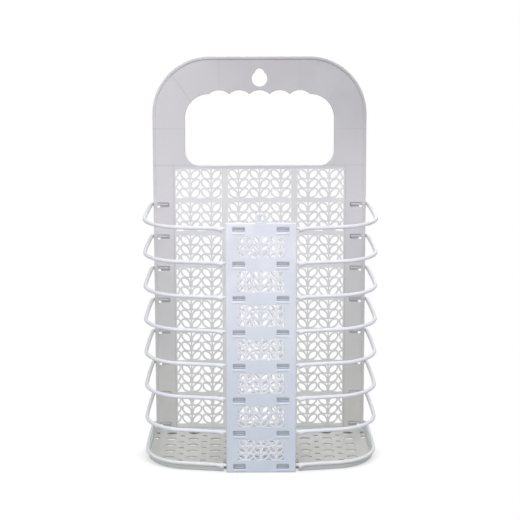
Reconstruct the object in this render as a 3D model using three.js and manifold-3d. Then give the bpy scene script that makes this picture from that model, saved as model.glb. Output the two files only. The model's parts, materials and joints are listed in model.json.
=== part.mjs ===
// Wall-hung folding laundry hamper of moulded plastic. A tall perforated back panel carries seven
// hoops and a bottom tray on snap-in pins, and a narrow front strip ties their fronts together.
// The eight links are parallel, so the strip lifts and everything folds flat against the panel.
// Millimetres, +Z up, the front towards -Y. The hamper stands on z = 0, opened.

import * as THREE from 'three';
import { mergeVertices } from 'three/addons/utils/BufferGeometryUtils.js';
import Module from 'manifold-3d';

const wasm = await Module();
wasm.setup();

// Linkage: eight equal links between the panel's pivots and the strip's clips
const hoopCount = 7;
const pivotPitch = 50;
const lowestPivotHeight = 25.2;
const linkLength = 180.8;
const droopDegrees = 4.6;
const runningClearance = 0.3;
const pinRadius = 2.5;
const neckRadius = 2.3;

// Back panel
const panelWidth = 328.6;
const headBand = 51;
const plateThickness = 2.2;
const headCornerRadius = 88;
const footCornerRadius = 6;
const rimWidth = 4.5;
const rimRise = 1.2;
const flangeWall = 2.2;
const flangeDepth = 11;
const pivotSetback = 5;

// Handle opening, keyhole and pivot windows: the opening is placed from the highest pivot, and the
// keyhole and the panel's top from the scallops' peak
const handleWidth = 230;
const handleFloor = 60;
const handleFloorCorner = 22.5;
const scallopCount = 5;
const scallopPitch = 31;
const scallopRise = 6;
const scallopPeak = 175.6;
const keyBowlRise = 17.4;
const keyBowlRadius = 11.9;
const keyLobeRise = 8.2;
const keyLobeRadius = 7.3;
const windowInner = 140.4;
const windowWidth = 18;
const windowHeight = 7.6;
const windowDrop = 1;
const saddleWall = 1.6;
const saddleLip = 6;
const saddleInset = 4;

// Ribs behind the panel
const ribThickness = 1.6;
const ribDepth = 6;
const sideRibOffset = 132.6;
const headRibOffset = 62;
const shoulderRibHeight = 116.7;
const cornerRibOuter = 131;
const cornerRibOuterHeight = 195;
const cornerRibInner = 106;
const cornerRibInnerHeight = 159;

// Leaf pattern of the panel
const leafBlockCount = 8;
const leafBlockPitch = 51.4;
const highestLeafBlock = 31.6;
const leafRows = 3;
const leafRowPitch = 14.57;
const stemPitch = 32.67;
const middleStems = 3;
const sideBlockInner = 58.6;
const sideBlockWidth = 71.5;
const stemGap = 2.35;
const leafRootGap = 1.8;
const leafTipGap = 2.8;
const leafCrownGap = 1;
const leafBulge = 4.1;
const starRise = 2.6;
const starWidth = 5.8;
const starHeight = 5;
const footStarWidth = 9;
const footStarHeight = 6;

// Hoops
const rodRadius = 2.8;
const hoopSideGap = 0.9;
const hoopFlare = 3.2;
const cornerRadius = 65;
const cornerReach = 107;
const shoulderHalfSpan = 55;
const shoulderLength = 8;
const shoulderRadius = 4.4;
const pinTipInset = 1;

// Bottom tray
const skirtInset = 1.6;
const trayWall = 1.8;
const trayFloor = 1.8;
const heelGap = 0.45;
const heelHeight = 5;
const ovalPitch = 34.6;
const ovalRowShare = 0.14215;
const ovalColumns = 9;
const ovalRows = 6;
const firstOvalReach = 22;
const ovalLength = 16;
const ovalWidth = 9;
const smallOvalLength = 8.6;
const smallOvalWidth = 5;
const ovalMargin = 2;
const cornerHoleOffset = 160.4;
const cornerHoleWidth = 5.6;
const cornerHoleLength = 8;
const cornerHolePitch = 21;
const cornerHoleCount = 2;
const footClearance = 0.6;

// Front strip
const stripWidth = 101.5;
const stripThickness = 2;
const stripDepth = 9;
const stripWall = 1.8;
const neckSetback = 4.8;
const stripHead = 8.1;
const stripFoot = 9.7;
const slotInner = 22.9;
const slotWidth = 17.7;
const slotHeight = 7.4;
const slotDrop = 1;
const clipWall = 2;
const clipFootWall = 3.6;
const clipMouth = 3.8;
const clipBack = 3.2;
const stripStemPitch = 22.2;
const stripLeafRowPitch = 10.5;
const stripLeafShare = 0.7;
const loopWidth = 15.5;
const loopHeight = 13.6;
const loopHoleWidth = 8.1;
const loopHoleHeight = 10.5;
const loopCornerRadius = 3;
const loopTopWall = 1.8;

// Colours and finish: white polypropylene
const panelColor = 0xd8d8dc;
const hoopColor = 0xf1f1f2;
const trayColor = 0xdcdbd6;
const stripColor = 0xe0e4f0;
const plasticRoughness = 0.45;

// How finely the round shapes are cut
const rodSides = 8;
const pinSides = 8;
const hoopSteps = 8;
const leafArcSteps = 2;
const ovalSides = 6;
const headCornerSteps = 11;
const cornerSteps = 4;
const scallopSteps = 4;
const keySteps = 7;
const trayCornerSteps = 6;

// How far a cut runs past the face that it opens
const overrun = 1;

// Places that follow from the sizes
const droop = THREE.MathUtils.degToRad(droopDegrees);
const highestPivotHeight = lowestPivotHeight + hoopCount * pivotPitch;
const panelTop = highestPivotHeight + scallopPeak + headBand;
const pivotHeights = Array.from({ length: hoopCount + 1 }, (_, link) => (
  highestPivotHeight - link * pivotPitch
));
const linkRun = linkLength * Math.cos(droop);
const linkDrop = linkLength * Math.sin(droop);
const rootHalfSpan = panelWidth / 2 + hoopSideGap + rodRadius;
const cornerCentre = new THREE.Vector2(rootHalfSpan + hoopFlare - cornerRadius, cornerReach);
const neckHeights = pivotHeights.map((height) => height - linkDrop);
const stripFront = pivotSetback - linkRun - neckSetback;
const ovalRowPitch = linkLength * ovalRowShare;

// Outlines: lists of points in a plane

function arc(centre, radius, fromDegrees, toDegrees, steps) {
  return Array.from({ length: steps + 1 }, (_, step) => {
    const angle = THREE.MathUtils.degToRad(THREE.MathUtils.lerp(fromDegrees, toDegrees, step / steps));
    return new THREE.Vector2(Math.cos(angle), Math.sin(angle)).multiplyScalar(radius).add(centre);
  });
}

function rectangle(left, right, bottom, top) {
  const corners = [[left, bottom], [right, bottom], [right, top], [left, top]];
  return corners.map(([x, y]) => new THREE.Vector2(x, y));
}

function mirrored(outline) {
  return outline.map((point) => new THREE.Vector2(-point.x, point.y)).reverse();
}

// An oval or, where both radii are alike, a round section
function ring(centre, radiusX, radiusY, sides) {
  return Array.from({ length: sides }, (_, corner) => {
    const angle = 2 * Math.PI * (corner + 0.5) / sides;
    return new THREE.Vector2(radiusX * Math.cos(angle), radiusY * Math.sin(angle)).add(centre);
  });
}

// A pointed leaf between its root and its tip, bulging alike on both sides
function leaf(root, tip, bulge) {
  const spine = tip.clone().sub(root);
  const half = spine.length() / 2;
  const along = spine.clone().normalize();
  const across = new THREE.Vector2(-along.y, along.x);
  const radius = (half ** 2 + bulge ** 2) / (2 * bulge);
  const sweep = Math.asin(half / radius);
  const side = (sign) => Array.from({ length: leafArcSteps }, (_, step) => {
    const angle = sign * THREE.MathUtils.lerp(-sweep, sweep, step / leafArcSteps);
    const reach = half + radius * Math.sin(angle);
    const out = sign * (radius * Math.cos(angle) - radius + bulge);
    return root.clone().addScaledVector(along, reach).addScaledVector(across, -out);
  });
  return [...side(1), ...side(-1)];
}

function star(x, y, share) {
  const across = new THREE.Vector2(starWidth / 2 * share, 0);
  const up = new THREE.Vector2(0, starHeight / 2 * share);
  const centre = new THREE.Vector2(x, y);
  return [across, up, across.clone().negate(), up.clone().negate()].map((point) => point.add(centre));
}

// The upper half of a wider star, under the lowest leaves
function footStar(x, y, share) {
  const half = footStarWidth / 2 * share;
  const peak = y + footStarHeight * share;
  return [new THREE.Vector2(x - half, y), new THREE.Vector2(x + half, y), new THREE.Vector2(x, peak)];
}

// Pairs of leaves that grow up and out from each stem, row above row, with stars between the stems
function leafPattern(stems, stemSpacing, bottom, rowSpacing, rows, share) {
  const outlines = [];
  for (const stem of stems) {
    for (let row = 0; row < rows; row += 1) {
      const foot = bottom + row * rowSpacing;
      for (const side of [-1, 1]) {
        const root = new THREE.Vector2(stem + side * stemGap * share, foot + leafRootGap * share);
        const tip = new THREE.Vector2(
          stem + side * (stemSpacing / 2 - leafTipGap * share),
          foot + rowSpacing - leafCrownGap * share,
        );
        outlines.push(leaf(root, tip, leafBulge * share));
      }
    }
  }
  for (const stem of stems.slice(0, -1)) {
    const middle = stem + stemSpacing / 2;
    for (let row = 0; row < rows; row += 1) {
      const foot = bottom + row * rowSpacing;
      outlines.push(row ? star(middle, foot + starRise * share, share) : footStar(middle, foot, share));
    }
  }
  return outlines;
}

// Solids: closed meshes that can be joined and cut

function solid(geometry) {
  geometry.deleteAttribute('normal');
  geometry.deleteAttribute('uv');
  const welded = mergeVertices(geometry);
  const vertProperties = welded.attributes.position.array;
  const triVerts = new Uint32Array(welded.index.array);
  return new wasm.Manifold(new wasm.Mesh({ numProp: 3, vertProperties, triVerts }));
}

function joined(solids) {
  return solids.reduce((whole, next) => whole.add(next));
}

// The same solid on the other side of the hamper
function flipped(body) {
  return body.mirror([1, 0, 0]);
}

function extruded(outlines, depth) {
  const shapes = outlines.map((outline) => new THREE.Shape(outline));
  return new THREE.ExtrudeGeometry(shapes, { depth, bevelEnabled: false });
}

// Outlines drawn in x and z, standing upright between two places in y
function upright(outlines, front, back) {
  const geometry = extruded(outlines, back - front);
  geometry.rotateX(Math.PI / 2);
  geometry.translate(0, back, 0);
  return solid(geometry);
}

// Outlines drawn in x and y, lying level between two heights
function level(outlines, bottom, top) {
  const geometry = extruded(outlines, top - bottom);
  geometry.translate(0, 0, bottom);
  return solid(geometry);
}

// Outlines drawn in y and z, running sideways between two places in x
function sideways(outlines, left, right) {
  const geometry = extruded(outlines, right - left);
  const turn = new THREE.Matrix4().makeBasis(
    new THREE.Vector3(0, 1, 0),
    new THREE.Vector3(0, 0, 1),
    new THREE.Vector3(1, 0, 0),
  );
  geometry.applyMatrix4(turn);
  geometry.translate(left, 0, 0);
  return solid(geometry);
}

// A round bar along x, which may taper from its left end to its right end
function bar(left, right, leftRadius, rightRadius, y, z, sides) {
  const geometry = new THREE.CylinderGeometry(leftRadius, rightRadius, right - left, sides);
  geometry.rotateZ(Math.PI / 2);
  geometry.translate((left + right) / 2, y, z);
  return solid(geometry);
}

function named(name, body, color, roughness) {
  const mesh = body.getMesh();
  const geometry = new THREE.BufferGeometry();
  geometry.setAttribute('position', new THREE.BufferAttribute(mesh.vertProperties, 3));
  geometry.setIndex(new THREE.BufferAttribute(mesh.triVerts, 1));
  geometry.computeVertexNormals();
  const part = new THREE.Mesh(geometry, new THREE.MeshStandardMaterial({ color, roughness, metalness: 0 }));
  part.name = name;
  return part;
}

// Back panel: its plate's front face lies at y = 0

function panelOutline(inset) {
  const half = panelWidth / 2;
  const head = new THREE.Vector2(half - headCornerRadius, panelTop - headCornerRadius);
  const foot = new THREE.Vector2(half - footCornerRadius, footCornerRadius);
  const right = [
    ...arc(foot, footCornerRadius - inset, -90, 0, cornerSteps),
    ...arc(head, headCornerRadius - inset, 0, 90, headCornerSteps),
  ];
  return [...right, ...mirrored(right)];
}

// The handle opening, grown all round by the wall of the collar behind it
function handleOutline(grown) {
  const half = handleWidth / 2;
  const scallopSpan = scallopCount * scallopPitch;
  const scallopRadius = ((scallopPitch / 2) ** 2 + scallopRise ** 2) / (2 * scallopRise);
  const scallopCentre = highestPivotHeight + scallopPeak - scallopRadius;
  const topCorner = half - scallopSpan / 2;
  const cusp = highestPivotHeight + scallopPeak - scallopRise;
  const sweep = THREE.MathUtils.radToDeg(Math.asin(scallopPitch / 2 / (scallopRadius + grown)));
  const floorCentre = new THREE.Vector2(
    half - handleFloorCorner,
    highestPivotHeight + handleFloor + handleFloorCorner,
  );
  const cornerTop = new THREE.Vector2(scallopSpan / 2, cusp - topCorner);
  const right = [
    ...arc(floorCentre, handleFloorCorner + grown, -90, 0, cornerSteps),
    ...arc(cornerTop, topCorner + grown, 0, 90, cornerSteps * 2).slice(0, -1),
  ];
  const scallops = Array.from({ length: scallopCount }, (_, index) => {
    const x = scallopSpan / 2 - (index + 0.5) * scallopPitch;
    const centre = new THREE.Vector2(x, scallopCentre);
    return arc(centre, scallopRadius + grown, 90 - sweep, 90 + sweep, scallopSteps);
  });
  const ridge = scallops.flatMap((points, index) => (index ? points.slice(1) : points));
  return [...right, ...ridge, ...mirrored(right)];
}

// A round bowl with a narrower lobe above it, where the hook ends up
function keyholeOutline() {
  const bowl = new THREE.Vector2(0, highestPivotHeight + scallopPeak + keyBowlRise);
  const lobe = new THREE.Vector2(0, bowl.y + keyLobeRise);
  const crossing = (keyBowlRadius ** 2 - keyLobeRadius ** 2 + keyLobeRise ** 2) / (2 * keyLobeRise);
  const bowlAngle = THREE.MathUtils.radToDeg(Math.asin(crossing / keyBowlRadius));
  const lobeAngle = THREE.MathUtils.radToDeg(Math.asin((crossing - keyLobeRise) / keyLobeRadius));
  return [
    ...arc(bowl, keyBowlRadius, -180 - bowlAngle, bowlAngle, keySteps * 2),
    ...arc(lobe, keyLobeRadius, lobeAngle, 180 - lobeAngle, keySteps).slice(1, -1),
  ];
}

// Holds the pin of one link from above and behind, at the right-hand window
function saddle(pivotHeight) {
  const back = pivotSetback + pinRadius + runningClearance;
  const top = pivotHeight + pinRadius + runningClearance;
  const lip = pivotHeight - saddleLip;
  const profile = [
    [plateThickness / 2, top],
    [back, top],
    [back, lip],
    [back + saddleWall, lip],
    [back + saddleWall, top + saddleWall],
    [plateThickness / 2, top + saddleWall],
  ].map(([y, z]) => new THREE.Vector2(y, z));
  return sideways([profile], windowInner, windowInner + windowWidth - saddleInset);
}

function panelRibs() {
  const half = ribThickness / 2;
  const wall = panelWidth / 2;
  const shoulder = highestPivotHeight + shoulderRibHeight;
  const waist = highestPivotHeight + handleFloor;
  const outer = new THREE.Vector2(cornerRibOuter, highestPivotHeight + cornerRibOuterHeight);
  const inner = new THREE.Vector2(cornerRibInner, highestPivotHeight + cornerRibInnerHeight);
  const slant = outer.clone().sub(inner).normalize();
  const side = new THREE.Vector2(-slant.y, slant.x).multiplyScalar(half);
  const right = [
    rectangle(headRibOffset - half, headRibOffset + half, highestPivotHeight + scallopPeak, panelTop),
    rectangle(handleWidth / 2, wall, shoulder - half, shoulder + half),
    rectangle(sideRibOffset, wall, waist - half, waist + half),
    rectangle(sideRibOffset - half, sideRibOffset + half, 0, waist),
    [inner.clone().sub(side), outer.clone().sub(side), outer.clone().add(side), inner.clone().add(side)],
  ];
  return [...right, ...right.map(mirrored)].map((outline) => (
    upright([outline], plateThickness / 2, plateThickness + ribDepth)
  ));
}

// Every leaf-shaped hole of the plate: a middle block and two side blocks in each row, where the
// outermost leaves are cut off by the edge of their block
function panelLeafHoles() {
  const blockHeight = leafRows * leafRowPitch;
  const middleHalf = middleStems * stemPitch / 2;
  const sideOuter = sideBlockInner + sideBlockWidth;
  const sideStems = Math.ceil(sideBlockWidth / stemPitch);
  const middle = Array.from({ length: middleStems }, (_, stem) => (stem + 0.5) * stemPitch - middleHalf);
  const side = Array.from({ length: sideStems }, (_, stem) => sideBlockInner + (stem + 0.5) * stemPitch);
  const leaves = [];
  const frames = [];
  for (let block = 0; block < leafBlockCount; block += 1) {
    const bottom = highestPivotHeight + highestLeafBlock - block * leafBlockPitch - blockHeight / 2;
    const right = leafPattern(side, stemPitch, bottom, leafRowPitch, leafRows, 1);
    const rightFrame = rectangle(sideBlockInner, sideOuter, bottom, bottom + blockHeight);
    leaves.push(...leafPattern(middle, stemPitch, bottom, leafRowPitch, leafRows, 1));
    leaves.push(...right, ...right.map(mirrored));
    frames.push(rectangle(-middleHalf, middleHalf, bottom, bottom + blockHeight));
    frames.push(rightFrame, mirrored(rightFrame));
  }
  return upright(leaves, -overrun, plateThickness + overrun)
    .intersect(upright(frames, -overrun, plateThickness + overrun));
}

function backPanel() {
  const wall = panelWidth / 2;
  const windows = pivotHeights.map((height) => rectangle(
    windowInner,
    windowInner + windowWidth,
    height - windowDrop - windowHeight / 2,
    height - windowDrop + windowHeight / 2,
  ));
  const collar = upright([handleOutline(flangeWall)], plateThickness / 2, flangeDepth + overrun);
  const saddles = pivotHeights.map(saddle);
  const bores = pivotHeights.map((height) => bar(
    wall - flangeWall - overrun,
    wall + overrun,
    pinRadius + runningClearance,
    pinRadius + runningClearance,
    pivotSetback,
    height,
    pinSides,
  ));
  const pan = upright([panelOutline(flangeWall)], plateThickness, flangeDepth + overrun)
    .subtract(joined([collar, ...panelRibs(), ...saddles, ...saddles.map(flipped)]));
  return upright([panelOutline(0)], -rimRise, flangeDepth)
    .subtract(upright([panelOutline(rimWidth)], -rimRise - overrun, 0))
    .subtract(pan)
    .subtract(upright([keyholeOutline(), handleOutline(0)], -rimRise - overrun, flangeDepth + overrun))
    .subtract(upright([...windows, ...windows.map(mirrored)], -overrun, pivotSetback))
    .subtract(panelLeafHoles())
    .subtract(joined([...bores, ...bores.map(flipped)]));
}

// Links: drawn about their own pivot axis, with x along it and the strip towards -y

// The angle of the round corner at which the rod leaves it, straight for the strip
function cornerSweep() {
  const toNeck = new THREE.Vector2(shoulderHalfSpan, linkLength).sub(cornerCentre);
  return toNeck.angle() - Math.acos(cornerRadius / toNeck.length());
}

// A point on the round corner, drawn in by the given inset; its y is the reach from the pivot
function cornerPoint(angle, inset) {
  return new THREE.Vector2(Math.cos(angle), Math.sin(angle))
    .multiplyScalar(cornerRadius - inset)
    .add(cornerCentre);
}

// The middle line of a hoop's rod, from the panel to its shoulder beside the strip. One step each
// goes to its two straight stretches, and all the others to the round corner between them.
class RodCurve extends THREE.Curve {
  getUtoTmapping(share) {
    return share;
  }

  getPoint(share, target = new THREE.Vector3()) {
    const step = share * hoopSteps;
    const start = cornerPoint(0, 0);
    const end = cornerPoint(cornerSweep(), 0);
    const point = cornerPoint((step - 1) / (hoopSteps - 2) * cornerSweep(), 0);
    if (step < 1) point.set(rootHalfSpan, -rodRadius).lerp(start, step);
    if (step > hoopSteps - 1) {
      point.set(shoulderHalfSpan, linkLength).lerp(end, hoopSteps - step);
    }
    return target.set(point.x, -point.y, 0);
  }
}

// The right half of a hoop: pin, rod, shoulder and half of the neck
function halfHoop() {
  const section = new THREE.Shape(ring(new THREE.Vector2(), rodRadius, rodRadius, rodSides));
  const rod = solid(new THREE.ExtrudeGeometry(section, { steps: hoopSteps, extrudePath: new RodCurve() }));
  const pin = bar(windowInner + pinTipInset, rootHalfSpan, pinRadius, pinRadius, 0, 0, pinSides);
  const flareEnd = shoulderHalfSpan + shoulderLength;
  const flare = bar(shoulderHalfSpan, flareEnd, shoulderRadius, rodRadius, -linkLength, 0, rodSides);
  const neck = bar(-overrun, shoulderHalfSpan + overrun, neckRadius, neckRadius, -linkLength, 0, pinSides);
  return joined([rod, pin, flare, neck]);
}

function hoop() {
  const half = halfHoop();
  return half.add(flipped(half));
}

// Bottom tray: the hoop's own shape as its rim, with a skirt and a slotted floor below it

// How far the tray's front edge reaches at a place across it, outside the recess
function frontReach(x, inset) {
  const end = cornerPoint(cornerSweep(), inset);
  if (x < end.x) return end.y + (end.x - x) / Math.tan(cornerSweep());
  return cornerCentre.y + Math.sqrt((cornerRadius - inset) ** 2 - (x - cornerCentre.x) ** 2);
}

const recessDepth = Math.hypot(stripFoot, neckSetback) + footClearance;
const frontDrop = frontReach(shoulderHalfSpan, skirtInset) * Math.sin(droop);
const trayDepth = (lowestPivotHeight - frontDrop) / Math.cos(droop);
const heelReach = (pivotSetback + trayDepth * Math.sin(droop) + rimRise + heelGap) / Math.cos(droop);

// The tray seen from above, drawn in from its outer skin by a wall or nothing
function trayOutline(wall) {
  const inset = skirtInset + wall;
  const recessSide = shoulderHalfSpan + wall;
  const recessReach = linkLength - recessDepth - wall;
  const heel = heelReach + wall;
  const heelSpan = rootHalfSpan - inset + hoopFlare * heel / cornerReach;
  const corner = Array.from({ length: trayCornerSteps + 1 }, (_, step) => (
    cornerPoint(cornerSweep() * (1 - step / trayCornerSteps), inset)
  ));
  const right = [
    new THREE.Vector2(recessSide, recessReach),
    new THREE.Vector2(recessSide, frontReach(recessSide, inset)),
    ...corner,
    new THREE.Vector2(heelSpan, heel),
  ].map((point) => new THREE.Vector2(point.x, -point.y));
  return [...right, ...mirrored(right)];
}

// Rows of ovals across the floor, left out where they would run into its front wall
function floorOvals(columns, rows, firstReach, ovalX, ovalY) {
  const recessReach = linkLength - recessDepth - trayWall;
  const recessSide = shoulderHalfSpan + trayWall;
  const outlines = [];
  for (let column = 0; column < columns; column += 1) {
    for (let row = 0; row < rows; row += 1) {
      const x = (column - (columns - 1) / 2) * ovalPitch;
      const reach = firstReach + row * ovalRowPitch;
      const outer = Math.abs(x) + ovalX / 2;
      const inner = Math.abs(x) - ovalX / 2;
      const limit = Math.min(
        frontReach(outer, skirtInset + trayWall),
        inner < recessSide ? recessReach : linkLength,
      );
      if (reach + ovalY / 2 + ovalMargin > limit) continue;
      outlines.push(ring(new THREE.Vector2(x, -reach), ovalX / 2, ovalY / 2, ovalSides));
    }
  }
  return outlines;
}

// Pairs of small windows in the floor beside each rear corner
function cornerHoles() {
  const right = Array.from({ length: cornerHoleCount }, (_, index) => {
    const reach = firstOvalReach + index * cornerHolePitch;
    return rectangle(
      cornerHoleOffset - cornerHoleWidth / 2,
      cornerHoleOffset + cornerHoleWidth / 2,
      -reach - cornerHoleLength / 2,
      -reach + cornerHoleLength / 2,
    );
  });
  return [...right, ...right.map(mirrored)];
}

function bottomTray() {
  const heelSpan = rootHalfSpan - skirtInset - trayWall;
  const heelCut = rectangle(-heelSpan, heelSpan, -heelReach - trayWall - overrun, -heelReach + overrun);
  const shell = level([trayOutline(0)], -trayDepth, 0)
    .subtract(level([trayOutline(trayWall)], -trayDepth + trayFloor, overrun))
    .subtract(level([heelCut], -trayDepth + heelHeight, overrun));
  const firstSmallReach = firstOvalReach + ovalRowPitch / 2;
  const holes = [
    ...floorOvals(ovalColumns, ovalRows, firstOvalReach, ovalLength, ovalWidth),
    ...floorOvals(ovalColumns - 1, ovalRows - 1, firstSmallReach, smallOvalLength, smallOvalWidth),
    ...cornerHoles(),
  ];
  return shell.add(hoop()).subtract(level(holes, -trayDepth - overrun, -trayDepth + trayFloor + overrun));
}

// Front strip: drawn where it stands, opened

function loopOutline() {
  const top = neckHeights[0] + stripHead + loopHeight;
  const corner = new THREE.Vector2(loopWidth / 2 - loopCornerRadius, top - loopCornerRadius);
  const right = [
    new THREE.Vector2(loopWidth / 2, neckHeights[0]),
    ...arc(corner, loopCornerRadius, 0, 90, cornerSteps),
  ];
  return [...right, ...mirrored(right)];
}

function loopHole() {
  const top = neckHeights[0] + stripHead + loopHeight - loopTopWall;
  const radius = loopHoleWidth / 2;
  return [
    new THREE.Vector2(-radius, top - loopHoleHeight),
    new THREE.Vector2(radius, top - loopHoleHeight),
    ...arc(new THREE.Vector2(0, top - radius), radius, 0, 180, cornerSteps * 2),
  ];
}

// A C-shaped clip behind one slot, open to the rear, that the neck snaps into
function clip(neckHeight) {
  const neckY = stripFront + neckSetback;
  const bore = neckRadius + runningClearance;
  const left = slotInner;
  const right = slotInner + slotWidth;
  const profile = (front, back, bottom, top) => [
    rectangle(front, back, neckHeight + bottom, neckHeight + top),
  ];
  const body = profile(stripFront + stripThickness, neckY + clipBack, -bore - clipFootWall, bore + clipWall);
  const mouth = profile(neckY, neckY + clipBack + overrun, -clipMouth / 2, clipMouth / 2);
  return sideways(body, left, right)
    .subtract(bar(left - overrun, right + overrun, bore, bore, neckY, neckHeight, pinSides))
    .subtract(sideways(mouth, left - overrun, right + overrun));
}

// Where a neck passes a turned-back edge of the strip: a notch that is open to the rear
function neckNotch(neckHeight) {
  const neckY = stripFront + neckSetback;
  const bore = neckRadius + runningClearance;
  const left = stripWidth / 2 - stripWall - overrun;
  const right = stripWidth / 2 + overrun;
  const mouth = rectangle(neckY, neckY + stripDepth, neckHeight - bore, neckHeight + bore);
  return bar(left, right, bore, bore, neckY, neckHeight, pinSides).add(sideways([mouth], left, right));
}

function stripLeafHoles() {
  const leaves = [];
  const stems = Array.from({ length: middleStems }, (_, stem) => (
    (stem - (middleStems - 1) / 2) * stripStemPitch
  ));
  for (const height of neckHeights.slice(0, -1)) {
    const bottom = height - slotDrop - (pivotPitch + leafRows * stripLeafRowPitch) / 2;
    const block = leafPattern(stems, stripStemPitch, bottom, stripLeafRowPitch, leafRows, stripLeafShare);
    leaves.push(...block);
  }
  return leaves;
}

function frontStrip() {
  const half = stripWidth / 2;
  const back = stripFront + stripDepth;
  const head = neckHeights[0] + stripHead;
  const foot = neckHeights[hoopCount] - stripFoot;
  const neckY = stripFront + neckSetback;
  const slots = neckHeights.map((height) => rectangle(
    slotInner,
    slotInner + slotWidth,
    height - slotDrop - slotHeight / 2,
    height - slotDrop + slotHeight / 2,
  ));
  const clips = neckHeights.map(clip);
  const notches = neckHeights.map(neckNotch);
  const inside = rectangle(-half + stripWall, half - stripWall, foot + stripWall, head - stripWall);
  const pan = upright([inside], stripFront + stripThickness, back + overrun)
    .subtract(joined([...clips, ...clips.map(flipped)]));
  return upright([rectangle(-half, half, foot, head)], stripFront, back)
    .subtract(pan)
    .add(upright([loopOutline()], stripFront, stripFront + stripThickness))
    .subtract(upright([loopHole()], stripFront - overrun, back + overrun))
    .subtract(upright([...slots, ...slots.map(mirrored)], stripFront - overrun, neckY - neckRadius))
    .subtract(upright(stripLeafHoles(), stripFront - overrun, back))
    .subtract(joined([...notches, ...notches.map(flipped)]));
}

// The hamper, opened: centred over its own footprint
const hamper = new THREE.Group();
hamper.position.y = -(stripFront + flangeDepth) / 2;
hamper.add(named('back_panel', backPanel(), panelColor, plasticRoughness));

// Hangs a link on its pivot, counted from the top
function hang(part, link) {
  part.position.set(0, pivotSetback, pivotHeights[link]);
  part.rotation.x = droop;
  hamper.add(part);
}

const hoopBody = hoop();
for (let link = 0; link < hoopCount; link += 1) {
  hang(named(`hoop_${link + 1}`, hoopBody, hoopColor, plasticRoughness), link);
}
hang(named('bottom_tray', bottomTray(), trayColor, plasticRoughness), hoopCount);
hamper.add(named('front_strip', frontStrip(), stripColor, plasticRoughness));

export default hamper;
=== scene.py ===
import json
import math
import bmesh
import bpy
from mathutils import Matrix, Vector
from mathutils.geometry import delaunay_2d_cdt


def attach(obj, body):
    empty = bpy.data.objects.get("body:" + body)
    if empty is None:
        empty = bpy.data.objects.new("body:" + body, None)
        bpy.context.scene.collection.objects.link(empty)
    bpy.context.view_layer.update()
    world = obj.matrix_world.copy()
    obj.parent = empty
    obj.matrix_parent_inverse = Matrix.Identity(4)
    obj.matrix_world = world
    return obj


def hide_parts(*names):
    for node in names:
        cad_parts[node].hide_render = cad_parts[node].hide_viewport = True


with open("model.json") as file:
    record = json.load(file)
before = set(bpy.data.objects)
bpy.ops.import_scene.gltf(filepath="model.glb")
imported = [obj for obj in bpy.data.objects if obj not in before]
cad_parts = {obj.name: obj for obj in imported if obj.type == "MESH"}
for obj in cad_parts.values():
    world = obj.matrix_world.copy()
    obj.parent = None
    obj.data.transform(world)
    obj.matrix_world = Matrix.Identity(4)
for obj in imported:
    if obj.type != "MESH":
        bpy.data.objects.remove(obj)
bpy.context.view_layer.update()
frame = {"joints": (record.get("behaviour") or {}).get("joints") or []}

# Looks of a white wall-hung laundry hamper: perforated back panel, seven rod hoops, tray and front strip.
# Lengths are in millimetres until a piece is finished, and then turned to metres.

mm = 0.001
scene = bpy.context.scene
hinges = {joint["name"]: Vector(joint["pos_m"]) / mm for joint in frame["joints"]}

linkage = {
    "hoopCount": 7,
    "linkLength": 180.8,
    "droop": math.radians(4.6),     # the links hang a little below level
    "pivotSetback": 5.0,            # pins lie this far behind the panel's front face
    "neckSetback": 4.8,             # necks lie this far behind the strip's front face
    "footBelowNeck": 9.7,           # the strip ends this far below its lowest neck
}
hingeNames = [f"hoop_{number + 1}_hinge" for number in range(linkage["hoopCount"])] + ["tray_hinge"]
pivots = [hinges[name] for name in hingeNames]
pivotHeights = [pivot.z for pivot in pivots]
frontY = pivots[0].y - linkage["pivotSetback"]
neckY = hinges["strip_hinge"].y
stripFrontY = neckY - linkage["neckSetback"]
neckHeights = [height - linkage["linkLength"] * math.sin(linkage["droop"]) for height in pivotHeights]
topPivot = pivotHeights[0]


# Outlines are lists of (u, v) points, counter-clockwise

def arcPoints(centre, radius, startDegrees, endDegrees, steps):
    points = []
    for step in range(steps + 1):
        angle = math.radians(startDegrees + (endDegrees - startDegrees) * step / steps)
        points.append((centre[0] + radius * math.cos(angle), centre[1] + radius * math.sin(angle)))
    return points


# A closed outline from corners (u, v), or (u, v, radius) where one is rounded
def roundedOutline(corners, steps=3):
    points = []
    for index, corner in enumerate(corners):
        if len(corner) == 2:
            points.append(corner)
            continue
        here, radius = Vector(corner[:2]), corner[2]
        before = (Vector(corners[index - 1][:2]) - here).normalized()
        after = (Vector(corners[(index + 1) % len(corners)][:2]) - here).normalized()
        halfAngle = before.angle(after) / 2
        centre = here + (before + after).normalized() * radius / math.sin(halfAngle)
        start = here + before * radius / math.tan(halfAngle) - centre
        sweep = 180 - 2 * math.degrees(halfAngle)
        if before.cross(after) > 0:
            sweep = -sweep
        first = math.degrees(math.atan2(start.y, start.x))
        points += arcPoints(centre, radius, first, first + sweep, steps)
    return points


def boxOutline(left, right, bottom, top):
    return [(left, bottom), (right, bottom), (right, top), (left, top)]


def roundedBox(left, right, bottom, top, radius):
    return roundedOutline([corner + (radius,) for corner in boxOutline(left, right, bottom, top)])


def mirroredOutline(points):
    return [(-u, v) for u, v in reversed(points)]


def moved(points, du, dv):
    return [(u + du, v + dv) for u, v in points]


def ellipse(width, height, sides=24):
    turns = [2 * math.pi * side / sides for side in range(sides)]
    return [(width / 2 * math.cos(turn), height / 2 * math.sin(turn)) for turn in turns]


meshing = {
    "sharpAngle": 33,       # degrees past which a shaded edge stays sharp
    "bevelAngle": 55,       # degrees past which an edge is bevelled
    "leastMitre": 0.35,     # keeps a swept corner from running out too far
    "mergeDistance": 0.002,
    "netTolerance": 0.0001,
}


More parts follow.
